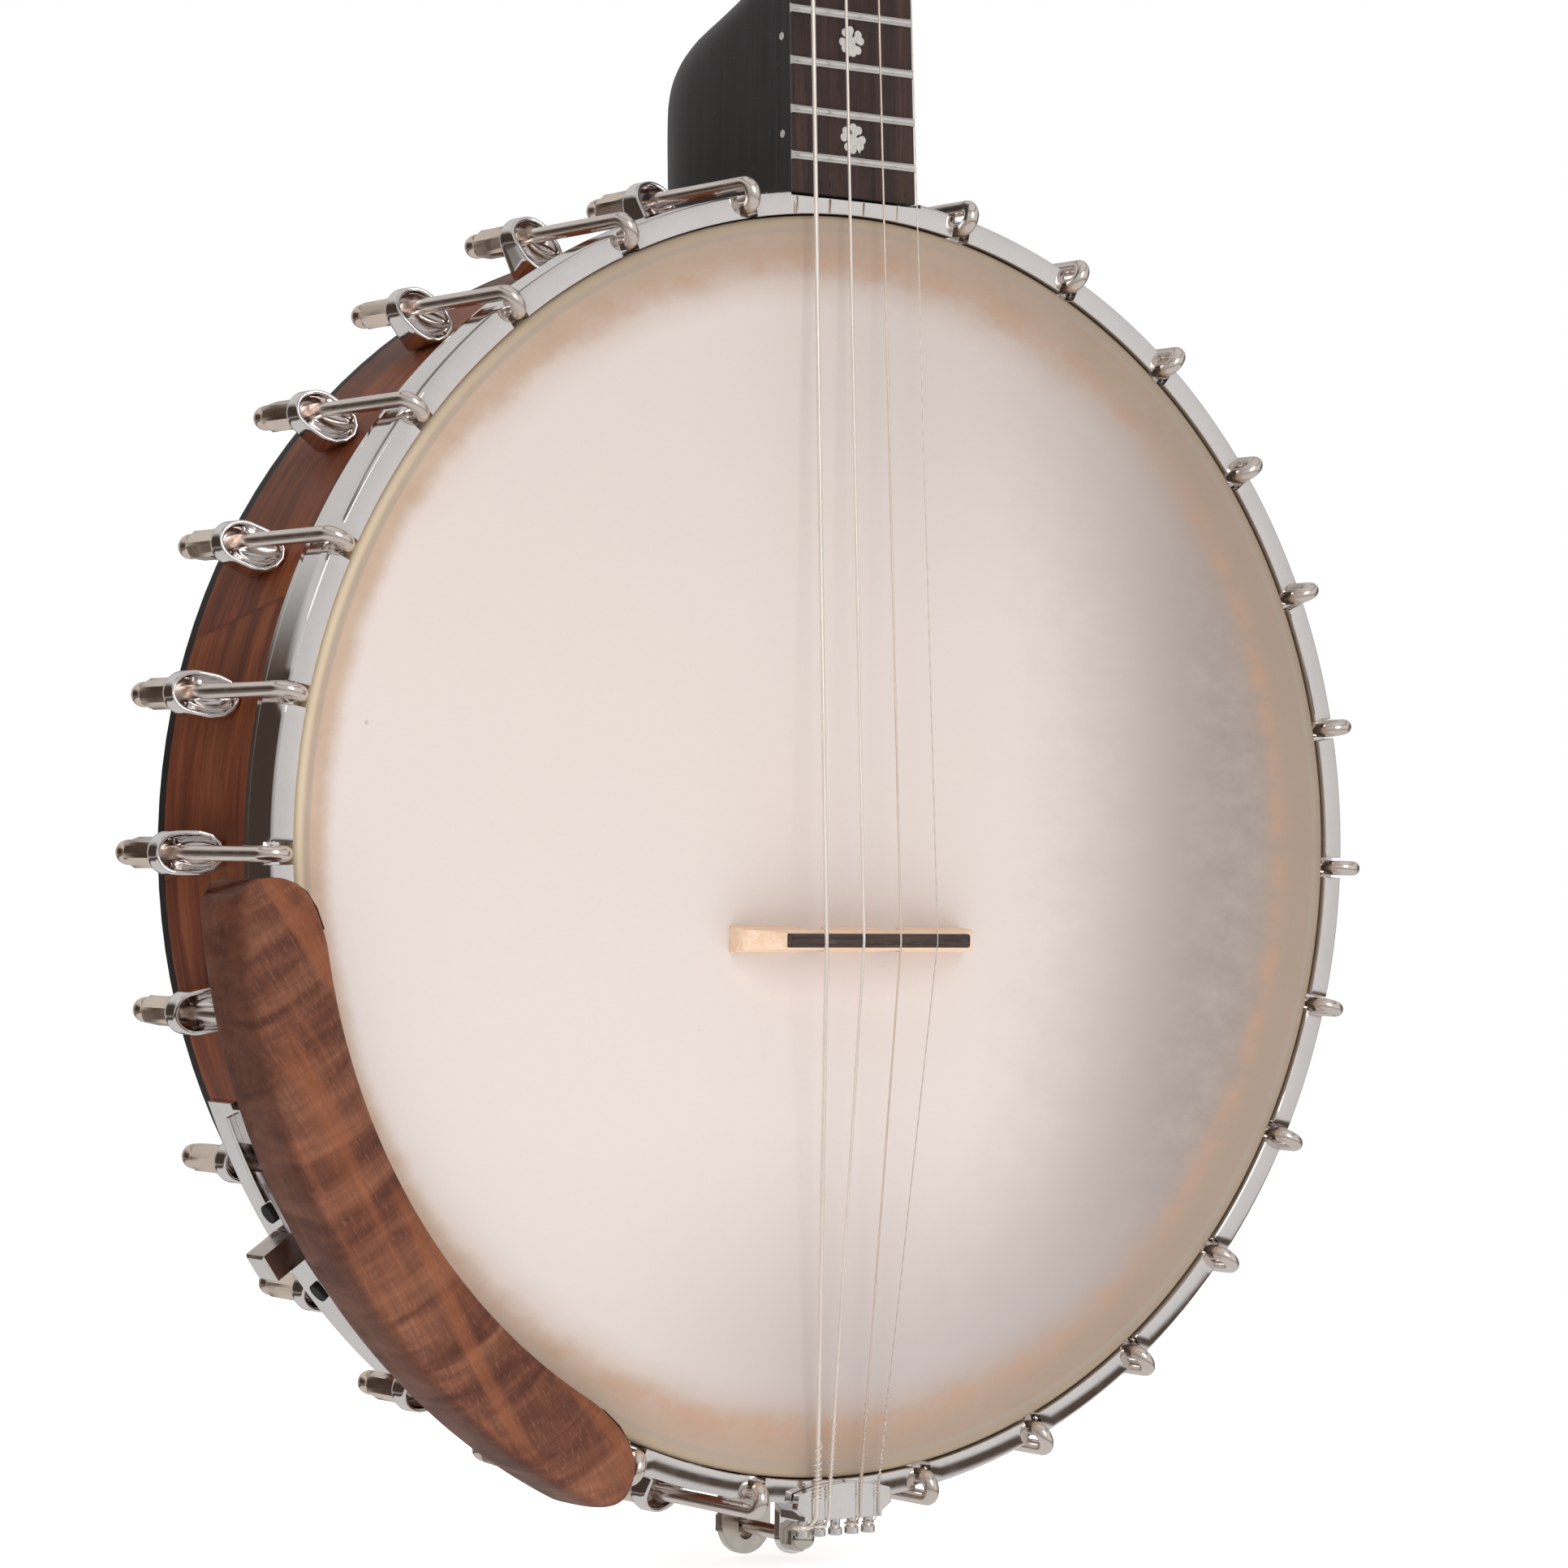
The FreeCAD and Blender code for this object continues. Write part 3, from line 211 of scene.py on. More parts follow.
# ------------------------------------------------------------------ materials
class Mat:
    def __init__(self, name):
        self.mat = bpy.data.materials.new(name)
        self.mat.use_nodes = True
        self.nt = self.mat.node_tree
        self.nt.nodes.clear()
        self.out = self.nt.nodes.new("ShaderNodeOutputMaterial")
        self.b = self.nt.nodes.new("ShaderNodeBsdfPrincipled")
        self.link(self.b.outputs[0], self.out.inputs["Surface"])
        self.tc = self.nt.nodes.new("ShaderNodeTexCoord").outputs["Object"]

    def link(self, a, b):
        self.nt.links.new(a, b)

    def put(self, sock, val):
        if hasattr(val, "is_output"):
            self.link(val, sock)
        elif val is not None:
            try:
                sock.default_value = val
            except (TypeError, ValueError):
                sock.default_value = (*val, 1.0) if len(val) == 3 else tuple(val)[:3]

    def math(self, op, a, b=None, c=None, clamp=False):
        n = self.nt.nodes.new("ShaderNodeMath")
        n.operation, n.use_clamp = op, clamp
        for i, v in enumerate((a, b, c)):
            if v is not None:
                self.put(n.inputs[i], v)
        return n.outputs[0]

    def vec(self, op, a, b=None):
        n = self.nt.nodes.new("ShaderNodeVectorMath")
        n.operation = op
        self.put(n.inputs[0], a)
        if b is not None:
            self.put(n.inputs[1], b)
        return n.outputs["Value"] if op in ("LENGTH", "DOT_PRODUCT") else n.outputs["Vector"]

    def xyz(self, v=None):
        n = self.nt.nodes.new("ShaderNodeSeparateXYZ")
        self.link(v or self.tc, n.inputs[0])
        return n.outputs

    def combine(self, x, y, z):
        n = self.nt.nodes.new("ShaderNodeCombineXYZ")
        for i, v in enumerate((x, y, z)):
            self.put(n.inputs[i], v)
        return n.outputs[0]

    def scaled(self, sx, sy, sz, v=None):
        return self.vec("MULTIPLY", v or self.tc, (sx, sy, sz))

    def noise(self, v, scale=1.0, detail=3.0, rough=0.55, dist=0.0):
        n = self.nt.nodes.new("ShaderNodeTexNoise")
        self.link(v, n.inputs["Vector"])
        n.inputs["Scale"].default_value = scale
        n.inputs["Detail"].default_value = detail
        n.inputs["Roughness"].default_value = rough
        n.inputs["Distortion"].default_value = dist
        return n.outputs[0]

    def voronoi(self, v, scale=1.0, feature="F1", out="Distance", rand=1.0):
        n = self.nt.nodes.new("ShaderNodeTexVoronoi")
        n.feature = feature
        self.link(v, n.inputs["Vector"])
        n.inputs["Scale"].default_value = scale
        n.inputs["Randomness"].default_value = rand
        return n.outputs[out]

    def wave(self, v, scale=1.0, dist=0.0, detail=2.0, dscale=1.0, axis="X", kind="SIN"):
        n = self.nt.nodes.new("ShaderNodeTexWave")
        n.wave_type, n.bands_direction, n.wave_profile = "BANDS", axis, kind
        self.link(v, n.inputs["Vector"])
        n.inputs["Scale"].default_value = scale
        n.inputs["Distortion"].default_value = dist
        n.inputs["Detail"].default_value = detail
        n.inputs["Detail Scale"].default_value = dscale
        return n.outputs["Fac"]

    def ramp(self, fac, stops, smooth=False):
        n = self.nt.nodes.new("ShaderNodeValToRGB")
        if smooth:
            n.color_ramp.interpolation = "EASE"
        el = n.color_ramp.elements
        while len(el) < len(stops):
            el.new(0.5)
        for e, (p, c) in zip(el, stops):
            e.position = p
            e.color = (*c, 1.0) if hasattr(c, "__len__") else (c, c, c, 1.0)
        self.link(fac, n.inputs[0])
        return n.outputs[0]

    def remap(self, v, a, b, c=0.0, d=1.0, smooth=False):
        n = self.nt.nodes.new("ShaderNodeMapRange")
        n.interpolation_type = "SMOOTHSTEP" if smooth else "LINEAR"
        self.link(v, n.inputs[0])
        for i, x in enumerate((a, b, c, d)):
            n.inputs[i + 1].default_value = x
        return n.outputs[0]

    def mix(self, fac, a, b, blend="MIX"):
        n = self.nt.nodes.new("ShaderNodeMix")
        n.data_type, n.blend_type = "RGBA", blend
        self.put(n.inputs[0], fac)
        self.put(n.inputs[6], a)
        self.put(n.inputs[7], b)
        return n.outputs[2]

    def bump(self, height, strength=0.3, distance=0.0002, normal=None):
        n = self.nt.nodes.new("ShaderNodeBump")
        n.inputs["Strength"].default_value = strength
        n.inputs["Distance"].default_value = distance
        self.link(height, n.inputs["Height"])
        if normal is not None:
            self.link(normal, n.inputs["Normal"])
        return n.outputs[0]

    def edge(self, radius=0.0002):
        """Rounded edges for the shading of a part whose edges are sharp in the mesh."""
        n = self.nt.nodes.new("ShaderNodeBevel")
        n.samples = 6
        n.inputs["Radius"].default_value = radius
        return n.outputs[0]

    def set(self, color=None, rough=None, metallic=None, normal=None, spec=None, coat=None, coat_rough=None, sheen=None, aniso=None, sss=None, ior=None, alpha=None):
        i = self.b.inputs
        for k, v in (("Base Color", color), ("Roughness", rough), ("Metallic", metallic), ("Normal", normal), ("Specular IOR Level", spec),
                     ("Coat Weight", coat), ("Coat Roughness", coat_rough), ("Sheen Weight", sheen), ("Anisotropic", aniso), ("IOR", ior), ("Alpha", alpha)):
            if v is not None:
                self.put(i[k], v)
        if sss:
            i["Subsurface Weight"].default_value = sss
        return self.mat


def srgb(h):
    c = [int(h[i:i + 2], 16) / 255.0 for i in (0, 2, 4)]
    return tuple(x / 12.92 if x <= 0.04045 else ((x + 0.055) / 1.055) ** 2.4 for x in c)


def metal(name, color, dark, r0, r1, grain=(900, 900, 900), bump=0.05, edge=None, tarnish=0.25):
    """Plated metal: a clouded film, wiped smudges and fine lines along the grain axes."""
    m = Mat(name)
    cloud = m.noise(m.scaled(60, 60, 60), 1.0, 4, 0.6)
    lines = m.noise(m.scaled(*grain), 1.0, 3, 0.6)
    smudge = m.noise(m.scaled(140, 140, 140), 1.0, 2, 0.5, 0.6)
    f = m.remap(cloud, 0.42, 0.72, 0.0, tarnish, True)
    col = m.mix(f, color, dark)
    col = m.mix(m.remap(lines, 0.3, 0.7, 0.0, 0.18), col, tuple(c * 0.86 for c in color))
    rough = m.math("ADD", m.remap(smudge, 0.35, 0.7, r0, r1, True), m.remap(lines, 0.2, 0.8, -0.02, 0.03))
    nrm = m.bump(lines, bump, 0.00003, m.edge(edge) if edge else None)
    return m.set(col, rough, 1.0, nrm)


def make_materials():
    M = {}
    M["chrome"] = metal("chrome", (0.85, 0.815, 0.805), (0.67, 0.645, 0.64), 0.035, 0.10, (700, 700, 700), 0.03)
    M["chrome_cad"] = metal("chrome_sharp_edges", (0.84, 0.81, 0.80), (0.66, 0.64, 0.63), 0.05, 0.13, (700, 700, 700), 0.03, 0.0003)
    M["nickel_wire"] = metal("nickel_wire", (0.86, 0.775, 0.72), (0.62, 0.54, 0.48), 0.20, 0.28, (260, 60, 260), 0.004, None, 0.3)
    M["nickel"] = metal("nickel_plate", (0.84, 0.71, 0.60), (0.58, 0.45, 0.35), 0.15, 0.25, (600, 600, 600), 0.012, None, 0.3)
    M["nickel_cad"] = metal("nickel_plate_edges", (0.70, 0.655, 0.60), (0.47, 0.40, 0.33), 0.13, 0.26, (900, 900, 900), 0.05, 0.0003, 0.35)
    M["zinc"] = metal("zinc_steel", (0.60, 0.60, 0.585), (0.40, 0.39, 0.36), 0.24, 0.40, (1500, 1500, 300), 0.12, 0.00025, 0.5)
    M["brass"] = metal("brass_rod", (0.72, 0.52, 0.24), (0.42, 0.28, 0.13), 0.24, 0.42, (1200, 1200, 1200), 0.10, None, 0.5)
    M["aluminium"] = metal("flesh_hoop_aluminium", (0.66, 0.66, 0.67), (0.5, 0.5, 0.5), 0.30, 0.45, (900, 2200, 900), 0.10, 0.0002, 0.3)
    M["fret"] = metal("fret_wire", (0.84, 0.81, 0.785), (0.66, 0.62, 0.59), 0.24, 0.34, (160, 700, 700), 0.01, None, 0.2)

    # frosted head: warm white film, tan where it lies over the wooden rim, cream over the crown, and painted shade: a
    # grey mottled far side, greyer towards the top and bottom
    m = Mat("head_film")
    x, y, z = m.xyz()
    R = m.math("SQRT", m.math("ADD", m.math("MULTIPLY", x, x), m.math("MULTIPLY", z, z)))
    wob = m.noise(m.scaled(22, 22, 22), 1.0, 3, 0.6)
    Rw = m.math("ADD", R, m.remap(wob, 0.2, 0.8, -0.0012, 0.0012))
    fine = m.noise(m.scaled(900, 900, 900), 1.0, 3, 0.7)
    blot = m.noise(m.scaled(75, 75, 120), 1.0, 5, 0.68)
    fibre = m.noise(m.vec("MULTIPLY", m.vec("ADD", m.tc, (0.0, 0.0, 0.0)), (520, 520, 140)), 1.0, 3, 0.7, 0.4)
    white = m.mix(m.remap(m.noise(m.scaled(9, 9, 9), 1.0, 2, 0.5), 0.3, 0.7), srgb("e1d5cf"), srgb("ded4d0"))
    # painted shade: the grey side, an arc-edged area towards +X
    dx = m.math("MULTIPLY", m.math("ADD", x, 0.175), 1.0)
    dz = m.math("MULTIPLY", m.math("ADD", z, -0.018), 0.92)
    dd = m.math("SQRT", m.math("ADD", m.math("MULTIPLY", dx, dx), m.math("MULTIPLY", dz, dz)))
    shade = m.remap(m.math("ADD", dd, m.remap(blot, 0.25, 0.75, -0.006, 0.006)), 0.222, 0.298, 0.0, 1.0, True)
    grey = m.mix(m.remap(blot, 0.33, 0.68), srgb("8c7f7a"), srgb("9f938d"))
    col = m.mix(m.math("MULTIPLY", shade, 0.92), white, grey)
    # painted shade: a soft step darker from the centre line towards +X, along the strings
    step = m.remap(x, -0.008, 0.004, 0.0, 0.10, True)
    col = m.mix(step, col, srgb("c5bcb9"))
    # painted shade: greyer towards the top, mostly right of the neck
    high = m.math("MULTIPLY", m.remap(z, 0.045, 0.135, 0.0, 0.42, True), m.remap(x, -0.05, 0.02, 0.15, 1.0, True))
    col = m.mix(high, col, srgb("bdb2ac"))
    # painted shade: greyer towards the bottom, mostly right of centre
    bottom_shade = m.math("MULTIPLY", m.remap(z, -0.060, -0.136, 0.0, 0.72, True), m.remap(x, -0.085, 0.0, 0.20, 1.0, True))
    col = m.mix(bottom_shade, col, srgb("afa5a3"))
    xs = m.math("ADD", x, 0.0034)
    Rs = m.math("ADD", m.math("SQRT", m.math("ADD", m.math("MULTIPLY", xs, xs), m.math("MULTIPLY", z, z))), m.remap(wob, 0.2, 0.8, -0.0012, 0.0012))
    topness = m.remap(m.math("MAXIMUM", m.math("ABSOLUTE", z), m.math("ADD", x, 0.018)), 0.060, 0.145, 0.0, 1.0, True)
    Rt = m.math("ADD", Rs, m.remap(blot, 0.3, 0.7, -0.0006, 0.0006))
    rim_a = m.remap(Rt, 0.1392, 0.1446, 0.0, 1.0, True)
    rim_b = m.remap(Rt, 0.1300, 0.1465, 0.0, 1.0, True)
    rimz = m.math("ADD", rim_a, m.math("MULTIPLY", topness, m.math("SUBTRACT", rim_b, rim_a)))
    tan = m.mix(m.remap(wob, 0.35, 0.65), srgb("c2a48d"), srgb("cbb099"))
    tan = m.mix(m.remap(blot, 0.40, 0.66, 0.0, 0.30, True), tan, srgb("b08c70"))
    # painted shade: the tan band greyer on the far side and darker towards the top and bottom
    tan = m.mix(m.math("MULTIPLY", shade, 0.85), tan, srgb("9c8a7c"))
    tan = m.mix(m.remap(m.math("ABSOLUTE", z), 0.085, 0.150, 0.0, 0.62, True), tan, srgb("9a8371"))
    col = m.mix(m.math("MULTIPLY", rimz, 0.88), col, tan)
    streak = m.math("MULTIPLY", m.remap(Rt, 0.1368, 0.1415, 0.0, 1.0, True), m.remap(Rt, 0.1420, 0.1475, 1.0, 0.0, True))
    streak = m.math("MULTIPLY", streak, m.math("MULTIPLY", topness, m.remap(blot, 0.36, 0.62, 0.12, 0.55, True)))
    col = m.mix(streak, col, srgb("bd9479"))
    ring = m.math("MULTIPLY", m.remap(R, 0.1494, 0.1502, 0.0, 1.0, True), m.remap(R, 0.1508, 0.1518, 1.0, 0.0, True))
    col = m.mix(m.math("MULTIPLY", ring, 0.55), col, srgb("a2988a"))
    crown = m.remap(R, 0.1512, 0.1524, 0.0, 1.0, True)
    # painted shade: the crown darker on the far side and towards the top, bottom and right
    cream = m.mix(m.math("MULTIPLY", shade, 0.85), srgb("d8c6aa"), srgb("968a7a"))
    cream = m.mix(m.math("MULTIPLY", topness, 0.8), cream, srgb("9c8b76"))
    col = m.mix(m.math("MULTIPLY", crown, 0.9), col, cream)
    col = m.mix(m.remap(fine, 0.3, 0.7, 0.0, 0.05), col, srgb("b9aca4"))
    speck = m.remap(m.voronoi(m.scaled(36, 36, 36), 1.0), 0.018, 0.028, 0.35, 0.0)
    col = m.mix(speck, col, srgb("8e7c6e"))
    rough = m.remap(fibre, 0.3, 0.7, 0.44, 0.56)
    h = m.math("ADD", m.math("MULTIPLY", fine, 0.6), m.math("MULTIPLY", fibre, 0.6))
    M["head"] = m.set(col, rough, 0.0, m.bump(h, 0.10, 0.00004), spec=0.35, sss=0.0)

    # rim: stained blocks, each with its own tone; grain runs round the pot
    m = Mat("rim_wood")
    x, y, z = m.xyz()
    ang = m.math("ARCTAN2", x, z)
    # slanted joints between blocks
    slant = m.math("ADD", ang, m.math("MULTIPLY", y, 1.6))
    blocks = m.math("MULTIPLY", slant, 2.6)
    cell = m.math("FLOOR", blocks)
    frac = m.math("FRACT", blocks)
    wn = m.nt.nodes.new("ShaderNodeTexWhiteNoise")
    wn.noise_dimensions = "1D"
    m.link(cell, wn.inputs["W"])
    tone = wn.outputs["Value"]
    rad = m.math("SQRT", m.math("ADD", m.math("MULTIPLY", x, x), m.math("MULTIPLY", z, z)))
    around_v = m.combine(m.math("MULTIPLY", ang, 0.153), m.math("ADD", y, m.math("MULTIPLY", tone, 0.31)), m.math("MULTIPLY", rad, 1.0))
    g1 = m.noise(m.scaled(14, 190, 90, around_v), 1.0, 5, 0.6, 0.5)
    g2 = m.noise(m.scaled(70, 1500, 700, around_v), 1.0, 3, 0.6)
    g3 = m.noise(m.scaled(6, 55, 40, around_v), 1.0, 3, 0.5, 0.8)
    pores = m.noise(m.scaled(160, 3600, 1800, around_v), 1.0, 2, 0.5)
    c = m.ramp(g1, [(0.28, srgb("52291b")), (0.45, srgb("723c28")), (0.58, srgb("884b31")), (0.74, srgb("a56139"))])
    c = m.mix(m.remap(g3, 0.50, 0.66, 0.0, 0.6, True), c, srgb("a1613a"))
    c = m.mix(m.remap(g2, 0.35, 0.7, 0.0, 0.38), c, srgb("40200f"))
    c = m.mix(m.remap(tone, 0.0, 1.0, 0.0, 0.42), c, srgb("5a3020"), "MIX")
    c = m.mix(m.remap(pores, 0.62, 0.7, 0.0, 0.35), c, srgb("2a130b"))
    joint = m.math("MINIMUM", frac, m.math("SUBTRACT", 1.0, frac))
    c = m.mix(m.remap(joint, 0.0, 0.012, 0.45, 0.0), c, srgb("32180d"))
    rough = m.remap(g1, 0.3, 0.7, 0.34, 0.46)
    M["rim"] = m.set(c, rough, 0.0, m.bump(m.math("ADD", g2, m.math("MULTIPLY", pores, 0.5)), 0.10, 0.00006, m.edge(0.0003)), spec=0.12)

    m = Mat("ebonised_wood")
    x, y, z = m.xyz()
    ang = m.math("ARCTAN2", x, z)
    av = m.combine(m.math("MULTIPLY", ang, 0.153), y, z)
    g = m.noise(m.scaled(30, 900, 60, av), 1.0, 4, 0.6)
    c = m.mix(m.remap(g, 0.3, 0.75), srgb("1a1817"), srgb("292624"))
    M["ebonised"] = m.set(c, m.remap(g, 0.3, 0.7, 0.36, 0.5), 0.0, m.bump(g, 0.12, 0.00005, m.edge(0.0003)), spec=0.16)

    # curly maple armrest: straight-sawn board, the curl runs across the grain
    m = Mat("armrest_maple")
    x, y, z = m.xyz()
    ca, sa = math.cos(math.radians(-58)), math.sin(math.radians(-58))
    u = m.math("ADD", m.math("MULTIPLY", x, ca), m.math("MULTIPLY", z, sa))       # along the grain
    v = m.math("ADD", m.math("MULTIPLY", x, -sa), m.math("MULTIPLY", z, ca))      # across it
    uv = m.combine(u, v, y)
    curlc = m.noise(m.scaled(125, 16, 42, uv), 1.0, 3, 0.6, 0.7)
    curlf = m.noise(m.scaled(300, 30, 60, uv), 1.0, 3, 0.6, 0.9)
    grain = m.noise(m.scaled(34, 900, 520, uv), 1.0, 4, 0.65, 0.25)
    figure = m.noise(m.scaled(9, 60, 60, uv), 1.0, 3, 0.5, 1.2)
    fleck = m.noise(m.scaled(420, 1700, 900, uv), 1.0, 2, 0.5)
    c = m.ramp(curlc, [(0.30, srgb("4c2e25")), (0.44, srgb("683f32")), (0.56, srgb("7f513f")), (0.70, srgb("93614a"))])
    c = m.mix(m.remap(curlf, 0.42, 0.62, 0.30, 0.0, True), c, srgb("4a2e27"))
    c = m.mix(m.remap(grain, 0.35, 0.68, 0.0, 0.42), c, srgb("4d2b1d"))
    c = m.mix(m.remap(figure, 0.50, 0.66, 0.0, 0.50, True), c, srgb("9a5c3c"))
    c = m.mix(m.remap(fleck, 0.55, 0.75, 0.0, 0.30), c, srgb("9c705b"))
    hr = m.math("SQRT", m.math("ADD", m.math("MULTIPLY", x, x), m.math("MULTIPLY", z, z)))
    # painted shade: the outer side of the armrest darker
    side_shade = m.remap(m.math("ADD", hr, m.math("MULTIPLY", y, 0.45)), 0.1665, 0.1700, 0.0, 0.62, True)
    c = m.mix(side_shade, c, srgb("45261c"))
    rough = m.remap(curlc, 0.3, 0.7, 0.50, 0.38)
    M["armrest"] = m.set(c, rough, 0.0, m.bump(m.math("ADD", m.math("MULTIPLY", curlc, 1.0), m.math("MULTIPLY", grain, 0.25)), 0.14, 0.00022), spec=0.14)

    # black satin lacquer over maple: a trace of grain and fine dust
    m = Mat("black_lacquer")
    g = m.noise(m.scaled(700, 700, 22), 1.0, 3, 0.6)
    wv = m.noise(m.scaled(40, 40, 14), 1.0, 3, 0.5)
    dust = m.voronoi(m.scaled(210, 210, 210), 1.0)
    c = m.mix(m.remap(g, 0.3, 0.7), srgb("302f2f"), srgb("3b3a3a"))
    c = m.mix(m.remap(dust, 0.05, 0.09, 0.35, 0.0), c, srgb("6c6a66"))
    rough = m.math("ADD", m.remap(wv, 0.3, 0.7, 0.36, 0.46), m.remap(g, 0.3, 0.7, -0.02, 0.02))
    M["lacquer"] = m.set(c, rough, 0.0, m.bump(m.math("ADD", g, m.math("MULTIPLY", wv, 2.0)), 0.05, 0.00005, m.edge(0.0004)), spec=0.45)

    # rosewood board: straight dark figure along the neck with open pores
    m = Mat("rosewood")
    g1 = m.noise(m.scaled(230, 150, 7), 1.0, 4, 0.6, 0.6)
    g2 = m.noise(m.scaled(1500, 900, 26), 1.0, 3, 0.6)
    pores = m.noise(m.scaled(3400, 2400, 190), 1.0, 2, 0.5)
    wide = m.noise(m.scaled(60, 40, 5), 1.0, 2, 0.5)
    c = m.ramp(g1, [(0.30, srgb("2a1d1b")), (0.46, srgb("382826")), (0.60, srgb("46312b")), (0.74, srgb("5b3a2d"))])
    c = m.mix(m.remap(g2, 0.4, 0.7, 0.0, 0.5), c, srgb("241a19"))
    c = m.mix(m.remap(wide, 0.5, 0.7, 0.0, 0.3, True), c, srgb("5a3427"))
    c = m.mix(m.remap(pores, 0.60, 0.70, 0.0, 0.7), c, srgb("140e0d"))
    M["rosewood"] = m.set(c, m.remap(g2, 0.3, 0.7, 0.42, 0.58), 0.0, m.bump(m.math("SUBTRACT", g2, m.math("MULTIPLY", pores, 1.2)), 0.18, 0.00008), spec=0.35)

    m = Mat("bridge_maple")
    g1 = m.noise(m.scaled(34, 420, 300), 1.0, 4, 0.6, 0.4)
    g2 = m.noise(m.scaled(160, 2600, 2000), 1.0, 3, 0.6)
    ray = m.noise(m.scaled(900, 320, 900), 1.0, 2, 0.6)
    c = m.ramp(g1, [(0.3, srgb("edc9a8")), (0.5, srgb("f5d8bd")), (0.7, srgb("fae3cd"))])
    c = m.mix(m.remap(g2, 0.4, 0.7, 0.0, 0.4), c, srgb("e0b491"))
    c = m.mix(m.remap(ray, 0.62, 0.72, 0.0, 0.4), c, srgb("c58f63"))
    M["maple"] = m.set(c, 0.55, 0.0, m.bump(g2, 0.15, 0.00005), spec=0.3)
    m.put(m.b.inputs["Roughness"], m.remap(g1, 0.3, 0.7, 0.5, 0.62))

    m = Mat("ebony")
    g = m.noise(m.scaled(60, 1600, 1600), 1.0, 4, 0.6)
    p = m.noise(m.scaled(300, 4200, 4200), 1.0, 2, 0.5)
    c = m.mix(m.remap(g, 0.3, 0.72), srgb("2a201c"), srgb("4f3f37"))
    c = m.mix(m.remap(p, 0.6, 0.7, 0.0, 0.6), c, srgb("6a5b50"))
    M["ebony"] = m.set(c, m.remap(g, 0.3, 0.7, 0.4, 0.55), 0.0, m.bump(p, 0.2, 0.00004), spec=0.4)

    m = Mat("pearl_inlay")
    v1 = m.voronoi(m.scaled(420, 420, 420), 1.0, "SMOOTH_F1")
    n1 = m.noise(m.scaled(600, 600, 260), 1.0, 3, 0.6, 1.5)
    c = m.ramp(n1, [(0.3, srgb("b9b0ab")), (0.45, srgb("d6d0cc")), (0.6, srgb("c6bfb9")), (0.75, srgb("e9e6e3"))])
    c = m.mix(m.remap(v1, 0.1, 0.6, 0.0, 0.25), c, srgb("aeb7b4"))
    M["pearl"] = m.set(c, m.remap(n1, 0.3, 0.7, 0.16, 0.3), 0.0, m.bump(n1, 0.04, 0.00003), coat=0.4, coat_rough=0.1)

    m = Mat("bone")
    n1 = m.noise(m.scaled(160, 1100, 1100), 1.0, 4, 0.6)
    c = m.mix(m.remap(n1, 0.35, 0.7), srgb("efe6d2"), srgb("d9caa9"))
    M["bone"] = m.set(c, m.remap(n1, 0.3, 0.7, 0.32, 0.45), 0.0, m.bump(n1, 0.08, 0.00004, m.edge(0.0003)), spec=0.45)

    m = Mat("black_plastic")
    n1 = m.noise(m.scaled(1800, 1800, 1800), 1.0, 3, 0.6)
    sc = m.noise(m.scaled(2600, 2600, 60), 1.0, 2, 0.5)
    c = m.mix(m.remap(n1, 0.3, 0.7), srgb("161616"), srgb("202020"))
    M["plastic"] = m.set(c, m.remap(sc, 0.3, 0.7, 0.2, 0.34), 0.0, m.bump(n1, 0.05, 0.00003, m.edge(0.0003)))

    m = Mat("black_rubber")
    n1 = m.noise(m.scaled(2400, 2400, 2400), 1.0, 4, 0.7)
    c = m.mix(m.remap(n1, 0.3, 0.7), srgb("151413"), srgb("2b2927"))
    M["rubber"] = m.set(c, m.remap(n1, 0.3, 0.7, 0.62, 0.8), 0.0, m.bump(n1, 0.3, 0.00006, m.edge(0.0003)), spec=0.3)

    m = Mat("pearloid_button")
    n1 = m.noise(m.scaled(230, 230, 230), 1.0, 3, 0.6, 2.2)
    v1 = m.voronoi(m.scaled(300, 300, 300), 1.0, "SMOOTH_F1")
    c = m.ramp(n1, [(0.3, srgb("d9cfb6")), (0.5, srgb("efe8d6")), (0.7, srgb("f6f1e4"))])
    c = m.mix(m.remap(v1, 0.2, 0.7, 0.0, 0.3), c, srgb("cfc3a6"))
    M["pearloid"] = m.set(c, m.remap(n1, 0.3, 0.7, 0.18, 0.3), 0.0, m.bump(n1, 0.03, 0.00003), coat=0.5, coat_rough=0.08)

    def string_mat(name, color, dark, pitch, rough, metal_k):
        m = Mat(name)
        w = m.wave(m.scaled(1, 1, 1.0 / pitch), 0.159, 0.0, 0.0)
        x, y, z = m.xyz()
        ph = m.math("SINE", m.math("ADD", m.math("MULTIPLY", z, 2 * math.pi / pitch), m.math("MULTIPLY", x, 3000.0)))
        n1 = m.noise(m.scaled(300, 300, 60), 1.0, 3, 0.6)
        # painted shade: darker in the troughs of the wrap pattern, the grooves between windings
        c = m.mix(m.remap(ph, -1.0, 0.2, 0.55, 0.0, True), color, dark)
        c = m.mix(m.remap(n1, 0.4, 0.7, 0.0, 0.35), c, dark)
        m.nt.nodes.remove(w.node)
        return m.set(c, m.remap(n1, 0.3, 0.7, rough, rough + 0.12), metal_k, m.bump(ph, 0.22, 0.00005))
    M["wound"] = string_mat("wound_steel", (0.93, 0.86, 0.79), (0.70, 0.63, 0.57), 0.00032, 0.30, 0.6)
    M["bronze"] = string_mat("wound_bronze", (0.88, 0.76, 0.66), (0.60, 0.48, 0.39), 0.00026, 0.30, 0.7)
    M["plain"] = string_mat("plain_steel", (0.86, 0.79, 0.72), (0.66, 0.60, 0.54), 0.004, 0.28, 0.75)
    return M


M = make_materials()

